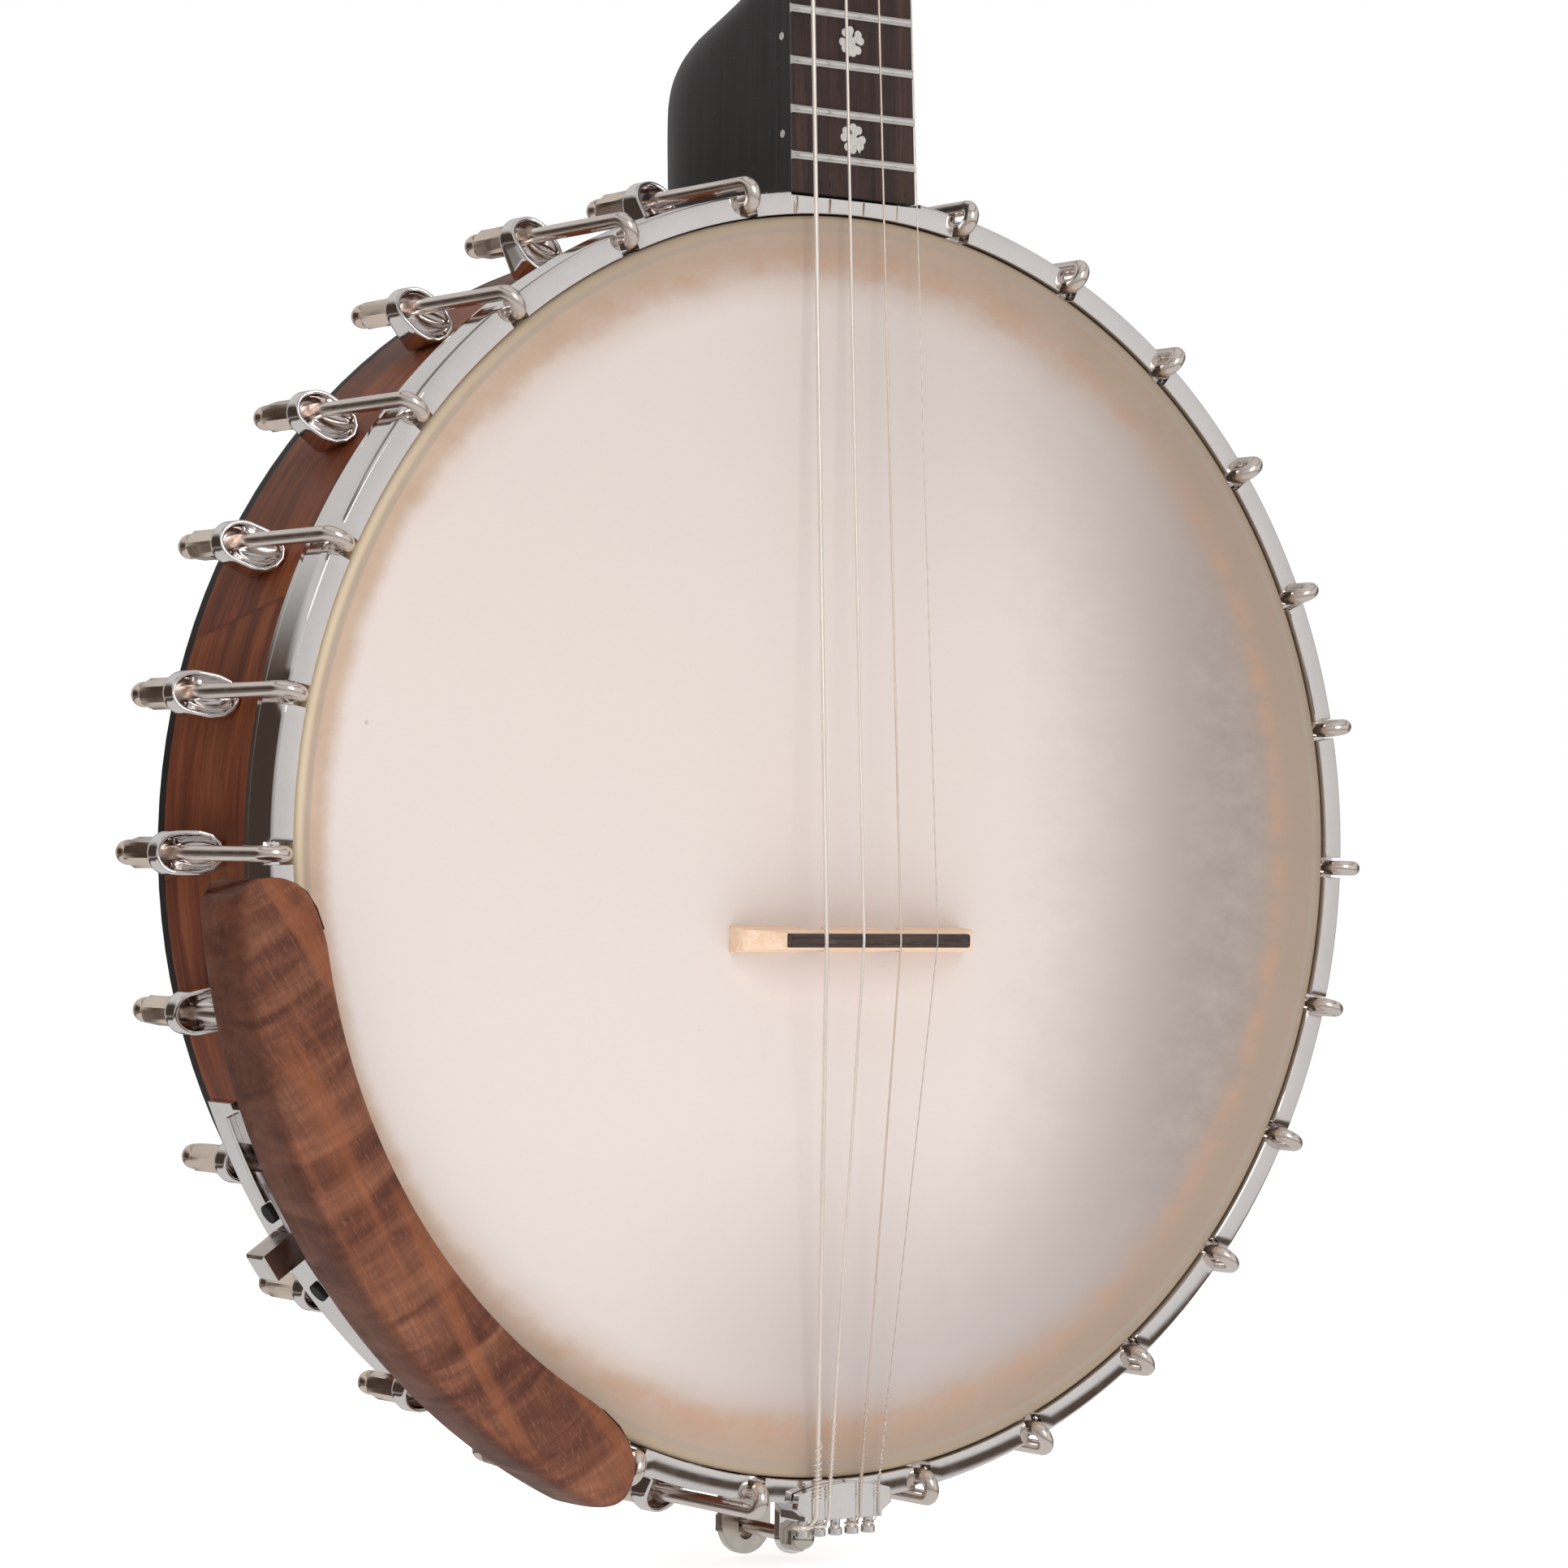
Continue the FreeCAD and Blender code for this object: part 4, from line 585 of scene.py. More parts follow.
# ================================================================== head
b = Build()
pts = [(0.0, 0.0), (30, 0), (60, 0), (90, 0), (110, 0), (125, 0), (135, 0), (141, 0), (147, 0), (152.4, 0.0)]
for i in range(1, 11):
    t = math.radians(9 * i)
    pts.append((152.4 + 1.4 * math.sin(t), 1.4 - 1.4 * math.cos(t)))
pts += [(153.8, 4.5), (153.8, 8.85), (153.65, 9.0), (153.5, 9.0), (153.4, 8.8), (153.4, 1.4)]
for i in range(1, 7):
    t = math.radians(90 - 15 * i)
    pts.append((152.4 + 1.0 * math.sin(t), 1.4 - 1.0 * math.cos(t)))
pts += [(141, 0.4), (120, 0.4), (80, 0.4), (40, 0.4), (0.0, 0.4)]
v, f = lathe(pts, [1.5 * i for i in range(240)], closed=False)
b.add(v, f)
finish_mesh(b, "head", [M["head"]], ["drum_head"], angle=40)

# ================================================================== tension hoop
NOTCH_H = math.degrees(2.6 / 158.6)
full = [(154.15, -0.22), (154.21, -0.38), (154.37, -0.5), (159.0, -0.5), (159.38, -0.38), (159.68, -0.08), (159.9, 0.42)]
tail = [(159.9, 3.6), (159.9, 7.70), (159.9, 7.76), (159.9, 10.35), (159.75, 10.55), (159.2, 10.8), (159.2, 13.75), (158.95, 14.0), (158.1, 14.0), (157.9, 13.8), (157.9, 5.0), (154.15, 5.0), (154.15, 3.6)]
# stations: (angle, kind) where kind says what lies between it and the next: full or notch
edges = sorted([a - NOTCH_H for a in HOOK_ANGLES] + [a + NOTCH_H for a in HOOK_ANGLES])
cuts = []
order = sorted(HOOK_ANGLES)
for i, a in enumerate(order):
    nxt = order[(i + 1) % 26] + (360 if i == 25 else 0)
    cuts.append((a - NOTCH_H, "notch"))
    s0, s1 = a + NOTCH_H, nxt - NOTCH_H
    n = max(6, int(round((s1 - s0) / 1.15)))
    inner = [s0 + (s1 - s0) * k / n for k in range(n)]
    if s0 < 0 < s1 and a < 0 and nxt < 90:
        inner = sorted(set(inner) | {-7.06, -7.02, 7.02, 7.06})
        inner = [q for q in inner if not (7.02 < abs(q) < 7.06)]
    cuts += [(q, "full") for q in inner]
b = Build()
idx = []
for a, kind in cuts:
    tl, fl = list(tail), list(full)
    if abs(a) <= 7.03:
        rc = 157.8 / math.cos(math.radians(a))
        tl = [(min(r, rc), y) if y <= 7.70 else (r, y) for r, y in tl]
        fl = [(min(r, rc - 0.02 * (6 - j) if j > 2 else rc), y) for j, (r, y) in enumerate(fl)]
        fl = [(min(r, rc - (0.35, 0.35, 0.35, 0.30, 0.14, 0.04, 0.0)[j]) if j > 2 else r, y) for j, (r, y) in enumerate(fl)]
    o = len(b.v)
    b.v += [turn((0, y, r), a) for r, y in tl]
    b.v += [turn((0, y, r), a) for r, y in fl]
    idx.append((o, o + len(tail)))
nt_, nf_ = len(tail), len(full)
for i, (a, kind) in enumerate(cuts):
    j = (i + 1) % len(cuts)
    (t0, f0), (t1, f1) = idx[i], idx[j]
    for k in range(nt_ - 1):
        b.f.append((t0 + k, t0 + k + 1, t1 + k + 1, t1 + k))
    if kind == "full":
        chain0 = [t0 + nt_ - 1] + [f0 + k for k in range(nf_)] + [t0]
        chain1 = [t1 + nt_ - 1] + [f1 + k for k in range(nf_)] + [t1]
        for k in range(len(chain0) - 1):
            b.f.append((chain0[k], chain0[k + 1], chain1[k + 1], chain1[k]))
    else:
        b.f.append((t0 + nt_ - 1, t0, t1, t1 + nt_ - 1))
    # walls of the notches
    prev = cuts[i - 1][1]
    if prev != kind:
        b.f.append(tuple([t0 + nt_ - 1] + [f0 + k for k in range(nf_)] + [t0]))
b.m = [0] * len(b.f)
hoop = finish_mesh(b, "hoop", [M["chrome"]], ["tension_hoop"], angle=24, merge=0, bevel=0.12, bevel_angle=60)

# ================================================================== bracket hooks
b = Build()
path = [(0, y, 162.5) for y in (60.3, 60.0, 45, 30, 15, 0.5)]
for i in range(0, 19):
    t = math.pi * i / 18
    path.append((0, -0.8 - 2.75 * math.sin(t), 159.75 + 2.75 * math.cos(t)))
path += [(0, 1.2, 157.0), (0, 2.9, 157.0), (0, 3.35, 157.0), (0, 3.55, 157.0)]
rad_ = [1.6, 1.85] + [1.85] * (len(path) - 5) + [1.85, 1.7, 1.35]
rings = around(path, rad_, 28)
v, f = loft(rings, cap0=True, cap1=True)
for a in HOOK_ANGLES:
    b.add(v, f, place=lambda p, a=a: turn(p, a))
finish_mesh(b, "hooks", [M["nickel_wire"]], ["bracket_hooks"], angle=50, merge=0)

# ================================================================== bracket nuts
b = Build()
prof = [(46.58, 1.95, 0), (46.58, 3.05, 0), (46.75, 3.42, 1), (47.15, 3.9, 1), (60.0, 3.9, 1), (60.45, 3.42, 1), (60.75, 3.0, 0), (60.95, 2.72, 0), (61.35, 2.70, 0),
        (61.6, 2.86, 0), (61.95, 3.0, 0), (63.9, 3.02, 0)]
for i in range(1, 9):
    t = math.radians(90 * i / 8)
    prof.append((63.9 + 3.78 * math.sin(t), 3.02 * math.cos(t) ** 0.9 if i < 8 else 0.0, 0))
AF2 = 3.25


def hex_r(deg):
    t = math.radians((deg % 60) - 30)
    return AF2 / math.cos(t)


for a in HOOK_ANGLES:
    spin = RND.uniform(0, 60)
    rings = []
    for y, r, hx in prof:
        rings.append([(min(r, hex_r(d)) * math.cos(math.radians(d + spin)), y, 162.5 + min(r, hex_r(d)) * math.sin(math.radians(d + spin))) if hx else
                      (r * math.cos(math.radians(d + spin)), y, 162.5 + r * math.sin(math.radians(d + spin))) for d in range(0, 360, 10)])
    v, f = loft(rings)
    b.add(v, f, place=lambda p, a=a: turn(p, a))
finish_mesh(b, "nuts", [M["nickel"]], ["bracket_nuts"], angle=28)


# ================================================================== bracket shoes
# a round cup against the rim: flat back end, full band round it, oval mouth cut at a slope down to the wood, bowl inside
S_R, S_C, S_IN, S_BACK = 5.2, 162.3, 153.02, 46.5


def shoe_outline(off, full=0.0):
    """Closed outline in (across, out): half round outside, straight cheeks, cornered against the rim or, at full 1, half round there too."""
    r, q0 = S_R - off, S_IN + off
    pts = [(r * math.cos(math.radians(d)), S_C + r * math.sin(math.radians(d))) for d in range(-0, 181, 6)]
    q = r * (0.31 + 0.68 * full)
    n = 6
    pts += [(-r, S_C + (q0 + q - S_C) * k / n) for k in range(1, n + 1)]
    pts += [(-r + q - q * math.cos(math.radians(d)), q0 + q - q * math.sin(math.radians(d))) for d in (30, 60, 90)]
    pts += [(-(r - q) + 2 * (r - q) * k / 8, q0) for k in range(1, 9)]
    pts += [(r - q + q * math.sin(math.radians(d)), q0 + q - q * math.cos(math.radians(d))) for d in (30, 60, 90)]
    pts += [(r, q0 + q + (S_C - q0 - q) * k / n) for k in range(1, n)]
    return pts


def shoe_lip(u, r):
    """The mouth's edge: a sloping cut that lands on the wood in front."""
    return 33.6 + (r - S_IN) * 0.475


b = Build()
base = shoe_outline(0.0, 1.0)
lips = [shoe_lip(u, r) for u, r in base]
WALL = 1.05
rings = []
for y, g in ((46.5, 1.7), (46.42, 1.15), (46.1, 0.55), (45.6, 0.16), (45.0, 0.0)):
    rings.append([(u, y, r) for u, r in shoe_outline(g)])
for k in (0.25, 0.5, 0.75):
    rings.append([(u, 45.0 + (l + 0.5 - 45.0) * k, r) for (u, r), l in zip(shoe_outline(0.0, k * k * (3 - 2 * k)), lips)])
for k in range(0, 9):
    t = math.radians(180 * k / 8)
    off = WALL / 2 * (1 - math.cos(t))
    rings.append([(u, l + 0.5 - 0.5 * math.sin(t), r) for (u, r), l in zip(shoe_outline(off, 1.0), lips)])
inner = shoe_outline(WALL, 1.0)
for k in range(1, 13):
    t = math.radians(90 * k / 12)
    f_ = max(0.02, math.cos(t))
    rings.append([(u * f_, (l + 0.5) + (44.3 - l - 0.5) * math.sin(t), 162.3 + (r - 162.3) * f_) for (u, r), l in zip(inner, lips)])
v, f = loft(rings, cap0=True, cap1=True)
# nothing goes into the wood: the side against the rim follows its curve
v = [(p[0], p[1], max(p[2], math.sqrt(S_IN * S_IN - p[0] * p[0]))) for p in v]
for a in HOOK_ANGLES:
    b.add(v, f, place=lambda p, a=a: turn(p, a))
finish_mesh(b, "shoes", [M["chrome"]], ["bracket_shoes"], angle=50, merge=0)


def fil(d, rf):
    return rf - math.sqrt(max(0.0, rf * rf - (rf - min(d, rf)) ** 2))


# ================================================================== armrest
raw = [(151.4, -6.2), (151.4, -8.0), (152.0, -8.9), (155.0, -10.4), (159.0, -11.3), (163.5, -11.6), (167.5, -11.0), (170.4, -9.6), (172.2, -7.4),
       (173.0, -4.2), (173.3, 1.0), (173.2, 8.2), (172.4, 10.0), (169.4, 10.2), (167.4, 9.2), (166.8, 6.0), (166.8, -3.6), (165.4, -6.2)]
dense = curve_through(raw, closed=True, steps=6)
# the underside and the step over the hoop stay straight
dense = [(min(max(r, 151.4), 173.3), min(max(y, -11.6), 10.2)) for r, y in dense]
up_pl = [(151.0, 100.0), (151.5, 97.6), (154.9, 94.7), (160.5, 93.4), (167.0, 93.2), (172.5, 93.9), (176.0, 96.2)]
lo_pl = [(151.0, 147.0), (151.2, 150.6), (153.9, 153.7), (159.0, 155.6), (166.7, 156.15), (172.2, 155.5), (176.0, 153.0)]


def table(pts):
    d = curve_through(pts, steps=12)

    def fn(r):
        for (r0, a0), (r1, a1) in zip(d, d[1:]):
            if r0 <= r <= r1:
                return a0 + (a1 - a0) * (r - r0) / max(1e-9, r1 - r0)
        return d[0][1] if r < d[0][0] else d[-1][1]
    return fn


fa, fb = table(up_pl), table(lo_pl)


def offset_profile(pr, e):
    n = len(pr)
    cx = sum(p[0] for p in pr) / n
    out = []
    for i in range(n):
        p0, p1, p2 = pr[i - 1], pr[i], pr[(i + 1) % n]
        tx, ty = p2[0] - p0[0], p2[1] - p0[1]
        L = math.hypot(tx, ty) or 1.0
        nx, ny = ty / L, -tx / L
        out.append((nx, ny))
    # area sign decides which way is inwards
    area = sum(pr[i][0] * pr[(i + 1) % n][1] - pr[(i + 1) % n][0] * pr[i][1] for i in range(n))
    s = -1.0 if area > 0 else 1.0
    return [(p[0] + s * e * q[0], p[1] + s * e * q[1]) for p, q in zip(pr, out)]


RF = 5.2
ds = [0.0, 0.10, 0.30, 0.65, 1.1, 1.7, 2.4, 3.2, 4.2, 5.2]
stations = []
for d in ds:
    stations.append(("a", d))
for k in range(1, 60):
    stations.append(("m", k / 60.0))
for d in reversed(ds):
    stations.append(("b", d))
rings = []
for kind, q in stations:
    e = fil(q, RF) if kind in "ab" else 0.0
    pr = offset_profile(dense, e * 2.3 / RF) if e > 1e-6 else dense
    ring = []
    for (r, y), (r_full, y_full) in zip(pr, dense):
        a0, a1 = fa(r_full), fb(r_full)
        d0 = math.degrees(RF / r)
        if kind == "a":
            ang = a0 + math.degrees(q / r)
        elif kind == "b":
            ang = a1 - math.degrees(q / r)
        else:
            ang = (a0 + d0) + (a1 - a0 - 2 * d0) * q
        ring.append(turn((0, y, r), -ang))
    rings.append(ring)
v, f = loft(rings, cap0=True, cap1=True)
b = Build()
b.add(v, f)
finish_mesh(b, "armrest", [M["armrest"]], ["armrest_wood"], angle=60)

# ================================================================== neck
SECT = [(-8.0, 66.0, 4.2), (2.0, 66.0, 4.2), (12.0, 66.0, 4.2), (21.0, 66.0, 4.2), (30.0, 65.9, 4.1), (36.0, 64.8, 3.9), (41.0, 61.8, 3.55),
        (45.5, 55.6, 3.15), (49.5, 43.8, 2.75), (53.0, 33.8, 2.4), (57.5, 30.2, 2.3), (65.0, 28.4, 2.25), (80.0, 26.9, 2.2), (110.0, 25.9, 2.2),
        (170.0, 25.0, 2.2), (250.0, 23.9, 2.2), (330.0, 22.9, 2.2), (NUT_Z - 28, 22.5, 2.25), (NUT_Z - 12, 22.3, 4.0), (NUT_Z, 22.2, 13.0), (NUT_Z + 10, 21.86, 16.0)]


def sect(z):
    z = max(-7.99, min(z, NUT_Z + 9.99))
    i = max(j for j in range(len(SECT) - 1) if SECT[j][0] <= z)
    out = []
    for c in (1, 2):
        xs = [q[0] for q in SECT]
        ys = [q[c] for q in SECT]
        sl = [(ys[j + 1] - ys[j]) / (xs[j + 1] - xs[j]) for j in range(len(xs) - 1)]

        def tang(j):
            if j == 0 or j == len(xs) - 1 or sl[j - 1] * sl[j] <= 0:
                return 0.0
            return 2 * sl[j - 1] * sl[j] / (sl[j - 1] + sl[j])
        h_ = xs[i + 1] - xs[i]
        t = (z - xs[i]) / h_
        out.append((2 * t ** 3 - 3 * t ** 2 + 1) * ys[i] + (t ** 3 - 2 * t ** 2 + t) * h_ * tang(i)
                   + (-2 * t ** 3 + 3 * t ** 2) * ys[i + 1] + (t ** 3 - t ** 2) * h_ * tang(i + 1))
    return out


def neck_pt(t, z, y0=6.02):
    yb, n = sect(z)
    w = board_w(min(max(z, 0.0), NUT_Z))
    c, s = math.cos(t), math.sin(t)
    return (w / 2 * math.copysign(abs(c) ** (2.0 / n), c), y0 + (yb - y0) * abs(s) ** (2.0 / n), z)


TS = []
step_t = 0.0629
for i in range(0, 65):
    u_ = math.pi * i / 64
    t = u_ + 0.17 * math.sin(4 * u_)
    TS.append(t)
TS = sorted(set(TS + [0.012, 0.03, step_t - 0.0012, step_t + 0.0012, math.pi - 0.012, math.pi - 0.03, math.pi - step_t + 0.0012, math.pi - step_t - 0.0012]))
TS = [t for t in TS if not (0 < abs(t - step_t) < 0.0011) and not (0 < abs(t - (math.pi - step_t)) < 0.0011)]


def bottom_z(t):
    """Where the heel meets the rim, or the hoop in front of it."""
    lo, hi = -8.0, 12.0
    y_row = neck_f(neck_pt(t, 0.0))[1]
    R = 160.5 if y_row < 14.93 else 152.98
    for _ in range(40):
        mid = (lo + hi) / 2
        p = neck_f(neck_pt(t, mid))
        if math.hypot(p[0], p[2]) < R:
            lo = mid
        else:
            hi = mid
    return hi


BZ = [bottom_z(t) for t in TS]
zs = [0, 2, 4, 6, 8.5, 11, 14, 17, 20, 23, 26, 29, 31.5, 34, 36, 38, 40, 41.5, 43, 44.5, 46, 47.5, 49, 50.5, 52, 54, 56, 58.5, 61.5, 65, 69, 74, 80, 88, 98, 110, 130, 155, 185, 220, 260, 300, 340, NUT_Z - 28, NUT_Z - 22, NUT_Z - 17, NUT_Z - 13, NUT_Z - 10, NUT_Z - 7, NUT_Z - 4, NUT_Z - 2, NUT_Z, NUT_Z + 3, NUT_Z + 6, NUT_Z + 9.9]
rings = []
Z_MERGE = 20.0
for z in zs:
    ring = []
    for t, bz in zip(TS, BZ):
        if z < Z_MERGE:
            zz = bz + (Z_MERGE - bz) * (z / Z_MERGE)
        else:
            zz = z
        p = neck_pt(t, zz)
        if zz > NUT_Z:
            # flush under the headstock's face
            ymin = 4.6 + 1.64 * math.cos(TP) + (zz - NUT_Z - 5.2) * math.tan(TP) + 1.64 * math.sin(TP) * math.tan(TP)
            f_ = (p[1] - 6.02) / max(1e-6, sect(zz)[0] - 6.02)
            p = (p[0], max(6.02, ymin) + (sect(zz)[0] - max(6.02, ymin)) * f_, p[2])
        ring.append(neck_f(p))
    rings.append(ring)
b = Build()
n = len(TS)
v, f = loft(rings, closed=False)
# the flat front under the board and the end faces
for i in range(len(rings) - 1):
    f.append((i * n + n - 1, i * n, (i + 1) * n, (i + 1) * n + n - 1))
o = (len(rings) - 1) * n
half = n // 2
for i in range(half):
    j = n - 1 - i
    if j - 1 > i + 1:
        f.append((o + i, o + i + 1, o + j - 1, o + j))
    else:
        f.append(tuple(dict.fromkeys((o + i, o + i + 1, o + j))))
b.add(v, f)
# heel end: rows of points across, pushed out to the rim's curve
SUB = 10
row_prev = None
for i in range(half + 1):
    j = n - 1 - i
    A, B_ = Vector(rings[0][i]), Vector(rings[0][j])
    row = []
    for k in range(SUB + 1):
        q = A.lerp(B_, k / SUB)
        R = math.hypot(A.x, A.z)
        z = math.sqrt(max(1.0, R * R - q.x * q.x))
        row.append((q.x, q.y, z))
    if row_prev:
        vv = row_prev + row
        ff = [(k, k + 1, SUB + 2 + k, SUB + 1 + k) for k in range(SUB)]
        b.add(vv, ff)
    row_prev = row
# headstock: outline through the half widths, 14 thick
half_w = [(0, 15.95), (7, 17.6), (15, 24.0), (24, 29.6), (36, 31.6), (50, 29.8), (62, 28.4), (76, 29.6), (92, 32.6), (104, 32.4), (113, 27.0), (118, 17.5), (115.5, 8.0)]


def outline(grow):
    pts = [(w, s) for s, w in half_w] + [(0.0, 113.0)] + [(-w, s) for s, w in reversed(half_w)]
    pts = [(x + (grow if x > 0 else -grow) if abs(x) > 1 else x, s) for x, s in pts]
    d = curve_through(pts, steps=7)
    top = max(q[1] for q in d)
    return [(x, min(s, 117.9) + (grow if s > 60 else 0)) for x, s in d]


def slab(y0, y1, r, build, mat, place):
    """A flat plate on the headstock outline, its edges rounded by r."""
    levels = []
    for k in range(5):
        t = math.radians(90 * k / 4)
        levels.append((y0 + r - r * math.cos(t), -(r - r * math.sin(t)) - 0.08))
    levels2 = [(y1 - (y - y0), g) for y, g in reversed(levels)]
    rr = []
    for y, g in levels + levels2:
        rr.append([(x, y, s) for x, s in outline(g)])
    v_, f_ = loft(rr, cap0=True, cap1=True)
    build.add(v_, f_, mat, place)


slab(1.62, 15.62, 1.3, b, 0, peg_f)
finish_mesh(b, "neck_wood", [M["lacquer"]], ["neck"], angle=42)
b = Build()
slab(0.0, 1.6, 0.35, b, 0, peg_f)
finish_mesh(b, "headstock_face", [M["lacquer"]], ["headstock_veneer"], angle=42)

# ================================================================== fingerboard, frets
b = Build()
T = 6.0
E = 0.25
zlist = [0.0, 0.25] + [NUT_Z * k / 24 for k in range(1, 24)] + [NUT_Z - 0.25, NUT_Z - 0.02]
rings = []
for i, z in enumerate(zlist):
    w = board_w(z) / 2 - 0.06
    e0 = E if 0 < i < len(zlist) - 1 else E + 0.12
    top = 0.02 if 0 < i < len(zlist) - 1 else 0.14
    rings.append([neck_f(p) for p in ((-w, T, z), (-w, 0.02 + e0, z), (-w + e0 * 0.3, 0.02 + e0 * 0.3 + (top - 0.02) * 0.3, z), (-w + e0, top, z), (w - e0, top, z), (w - e0 * 0.3, 0.02 + e0 * 0.3 + (top - 0.02) * 0.3, z),
                                      (w, 0.02 + e0, z), (w, T, z))])
v, f = loft(rings)
n8 = 8
mats = []
for i in range(len(rings) - 1):
    for j in range(8):
        mats.append(0 if j == 3 else 1)
b.add(v, f)
b.m = mats
b.f += [tuple(range(7, -1, -1)), tuple((len(rings) - 1) * 8 + j for j in range(8))]
b.m += [1, 1]
finish_mesh(b, "board", [M["rosewood"], M["lacquer"]], ["fingerboard"], angle=20, merge=0)

b = Build()
for z in FRET_Z:
    w = board_w(z) / 2 - 0.03
    ring_l, ring_r = [], []
    rings = []
    sec = []
    for i in range(15):
        a = math.pi * i / 14
        sec.append((-1.1 * math.cos(a), 1.0 * math.sin(a) ** 0.8 if 0 < i < 14 else 0.0))
    xs = [(-1, 0.0), (-1, 0.12), (1, 0.12), (1, 0.0)]
    for sg, d in xs:
        rings.append([neck_f((sg * (w - max(0.0, h - 0.12) * 0.82 - (0.0 if d == 0 else 0.12)) if h > 0.12 else sg * (w - (0.0 if d == 0 else 0.1)), 0.03 - h * (0.985 if d == 0 else 1.0), z + dz)) for dz, h in sec])
    v, f = loft(rings, closed=True, cap0=True, cap1=True)
    b.add(v, f)
finish_mesh(b, "fret_wires", [M["fret"]], ["frets"], angle=40, merge=0)

# ================================================================== bridge
half = [(34.5, 0.0), (15.2, 0.0)]
arch = [(15.2, 0.0), (14.9, -3.2), (13.2, -5.6), (11.4, -6.2), (9.6, -5.6), (7.9, -3.2), (7.6, 0.0)]
ad = curve_through(arch, steps=4)
out = [(-34.5, -0.05), (-34.5, -5.0)] + curve_through([(-34.3, -5.6), (-33.2, -7.0), (-30.0, -9.4), (-27.6, -12.2), (-26.75, -13.15)], steps=4)
out += [(-x, y) for x, y in reversed(out)][:-1] + [(34.5, -0.05)]
out = [p for i, p in enumerate(out) if i == 0 or p != out[i - 1]]
out += [(x, y if y else -0.05) for x, y in ad] + [(-x, y if y else -0.05) for x, y in reversed(ad)]


def thick(y):
    return 3.2 + (1.75 - 3.2) * min(1.0, -y / 13.2)


b = Build()
front = [(x, y, -22.83 - thick(y)) for x, y in out]
back = [(x, y, -22.83 + thick(y)) for x, y in out]
v, f = loft([front, back], cap0=True, cap1=True)
b.add(v, f)
finish_mesh(b, "bridge_wood", [M["maple"]], ["bridge_body"], angle=35, bevel=0.22, bevel_angle=50)
b = Build()
rings = []
for x, k in ((-26.7, 0.25), (-26.5, 0.0), (26.5, 0.0), (26.7, 0.25)):
    rings.append([(x, y, -22.83 + s) for y, s in ((-13.17, -1.7 + k), (-14.4, -1.7 + k), (-14.95 + k, -1.45 + k), (-15.15 + k, -1.05 + k), (-15.15 + k, 1.05 - k), (-14.95 + k, 1.45 - k), (-14.4, 1.7 - k), (-13.17, 1.7 - k))])
v, f = loft(rings, cap0=True, cap1=True)
b.add(v, f)
finish_mesh(b, "bridge_top", [M["ebony"]], ["bridge_saddle"], angle=30)

# ================================================================== strings
BRIDGE_X = (-16.63, -5.54, 5.54, 16.63)
NUT_X = (-12.3, -4.1, 4.1, 12.3)
TAIL_X = (-9.4, -5.6, 3.6, 9.0)
POST_X = (-12.2, -7.3, -2.4, 2.5, 7.4)
TUNERS = ((-17.0, 36.0), (-15.0, 78.0), (15.0, 78.0), (17.0, 36.0))
TWIST = (9.0, 15.0, 19.0, 24.0)
MATS = (M["wound"], M["wound"], M["bronze"], M["plain"])
for i in range(4):
    r = STRING_R[i]
    px = POST_X[(0, 1, 3, 4)[i]]
    x, s = TUNERS[i]
    off = 3.02 + 2 * r + 0.27 + r
    sx = x + off if x < 0 else x - off
    pe = peg_f((sx, -5.6, s + 1.0))
    nb = neck_f((NUT_X[i], -1.57 - r, NUT_Z + 3.6))
    tn = neck_f((NUT_X[i], -1.65 - r, NUT_Z))
    br = (BRIDGE_X[i], -15.15, -22.83)
    t1 = (TAIL_X[i], -4.15, -154.0)
    t2 = (TAIL_X[i], -3.95, -162.9)
    t3 = (px + 1.30 + r + 0.05 if TAIL_X[i] > px else px - 1.30 - r - 0.05, -1.9, -164.9)
    b = Build()
    # the free end of the run curls on to the post
    pth = soften([pe, nb, tn, br, t1, t2, t3], 1.4, 5)
    v, f = tube(pth, r, 14)
    b.add(v, f)
    ring = []
    rc = 1.31 + r
    for k in range(28):
        a = 2 * math.pi * k / 28
        ring.append([(px + (rc + r * math.cos(2 * math.pi * j / 10)) * math.cos(a), -1.9 + (rc + r * math.cos(2 * math.pi * j / 10)) * math.sin(a), -164.9 + r * math.sin(2 * math.pi * j / 10)) for j in range(10)])
    v, f = loft(ring, loop=True)
    b.add(v, f)
    # the loop end's tail, twisted back round the string in front of the tailpiece
    A, B_ = Vector(t1), Vector(br)
    d = (B_ - A).normalized()
    u = d.cross(Vector((0, 1, 0))).normalized()
    w = d.cross(u)
    wr = max(0.16, r * 0.46)
    hel = []
    L = TWIST[i]
    pos, ang_ = -4.5, 0.0
    while pos < L:
        g = max(0.0, pos / L)
        pitch = (0.62 + 1.5 * g ** 1.2) + 2 * wr * 0.5
        rr_ = (r + wr) * (1.0 + 0.10 * math.sin(ang_ * 0.37))
        hel.append(tuple(A + d * pos + (u * math.cos(ang_) + w * math.sin(ang_)) * rr_))
        ang_ += math.radians(30)
        pos += pitch * 30 / 360.0
    end = A + d * (pos + 0.6) + (u * math.cos(ang_) + w * math.sin(ang_)) * (r + wr) * 1.25
    hel.append(tuple(end))
    v, f = tube(hel, wr, 7)
    b.add(v, f)
    finish_mesh(b, "string_run_%d" % (i + 1), [MATS[i]], ["string_%d" % (i + 1)], angle=50, merge=0)

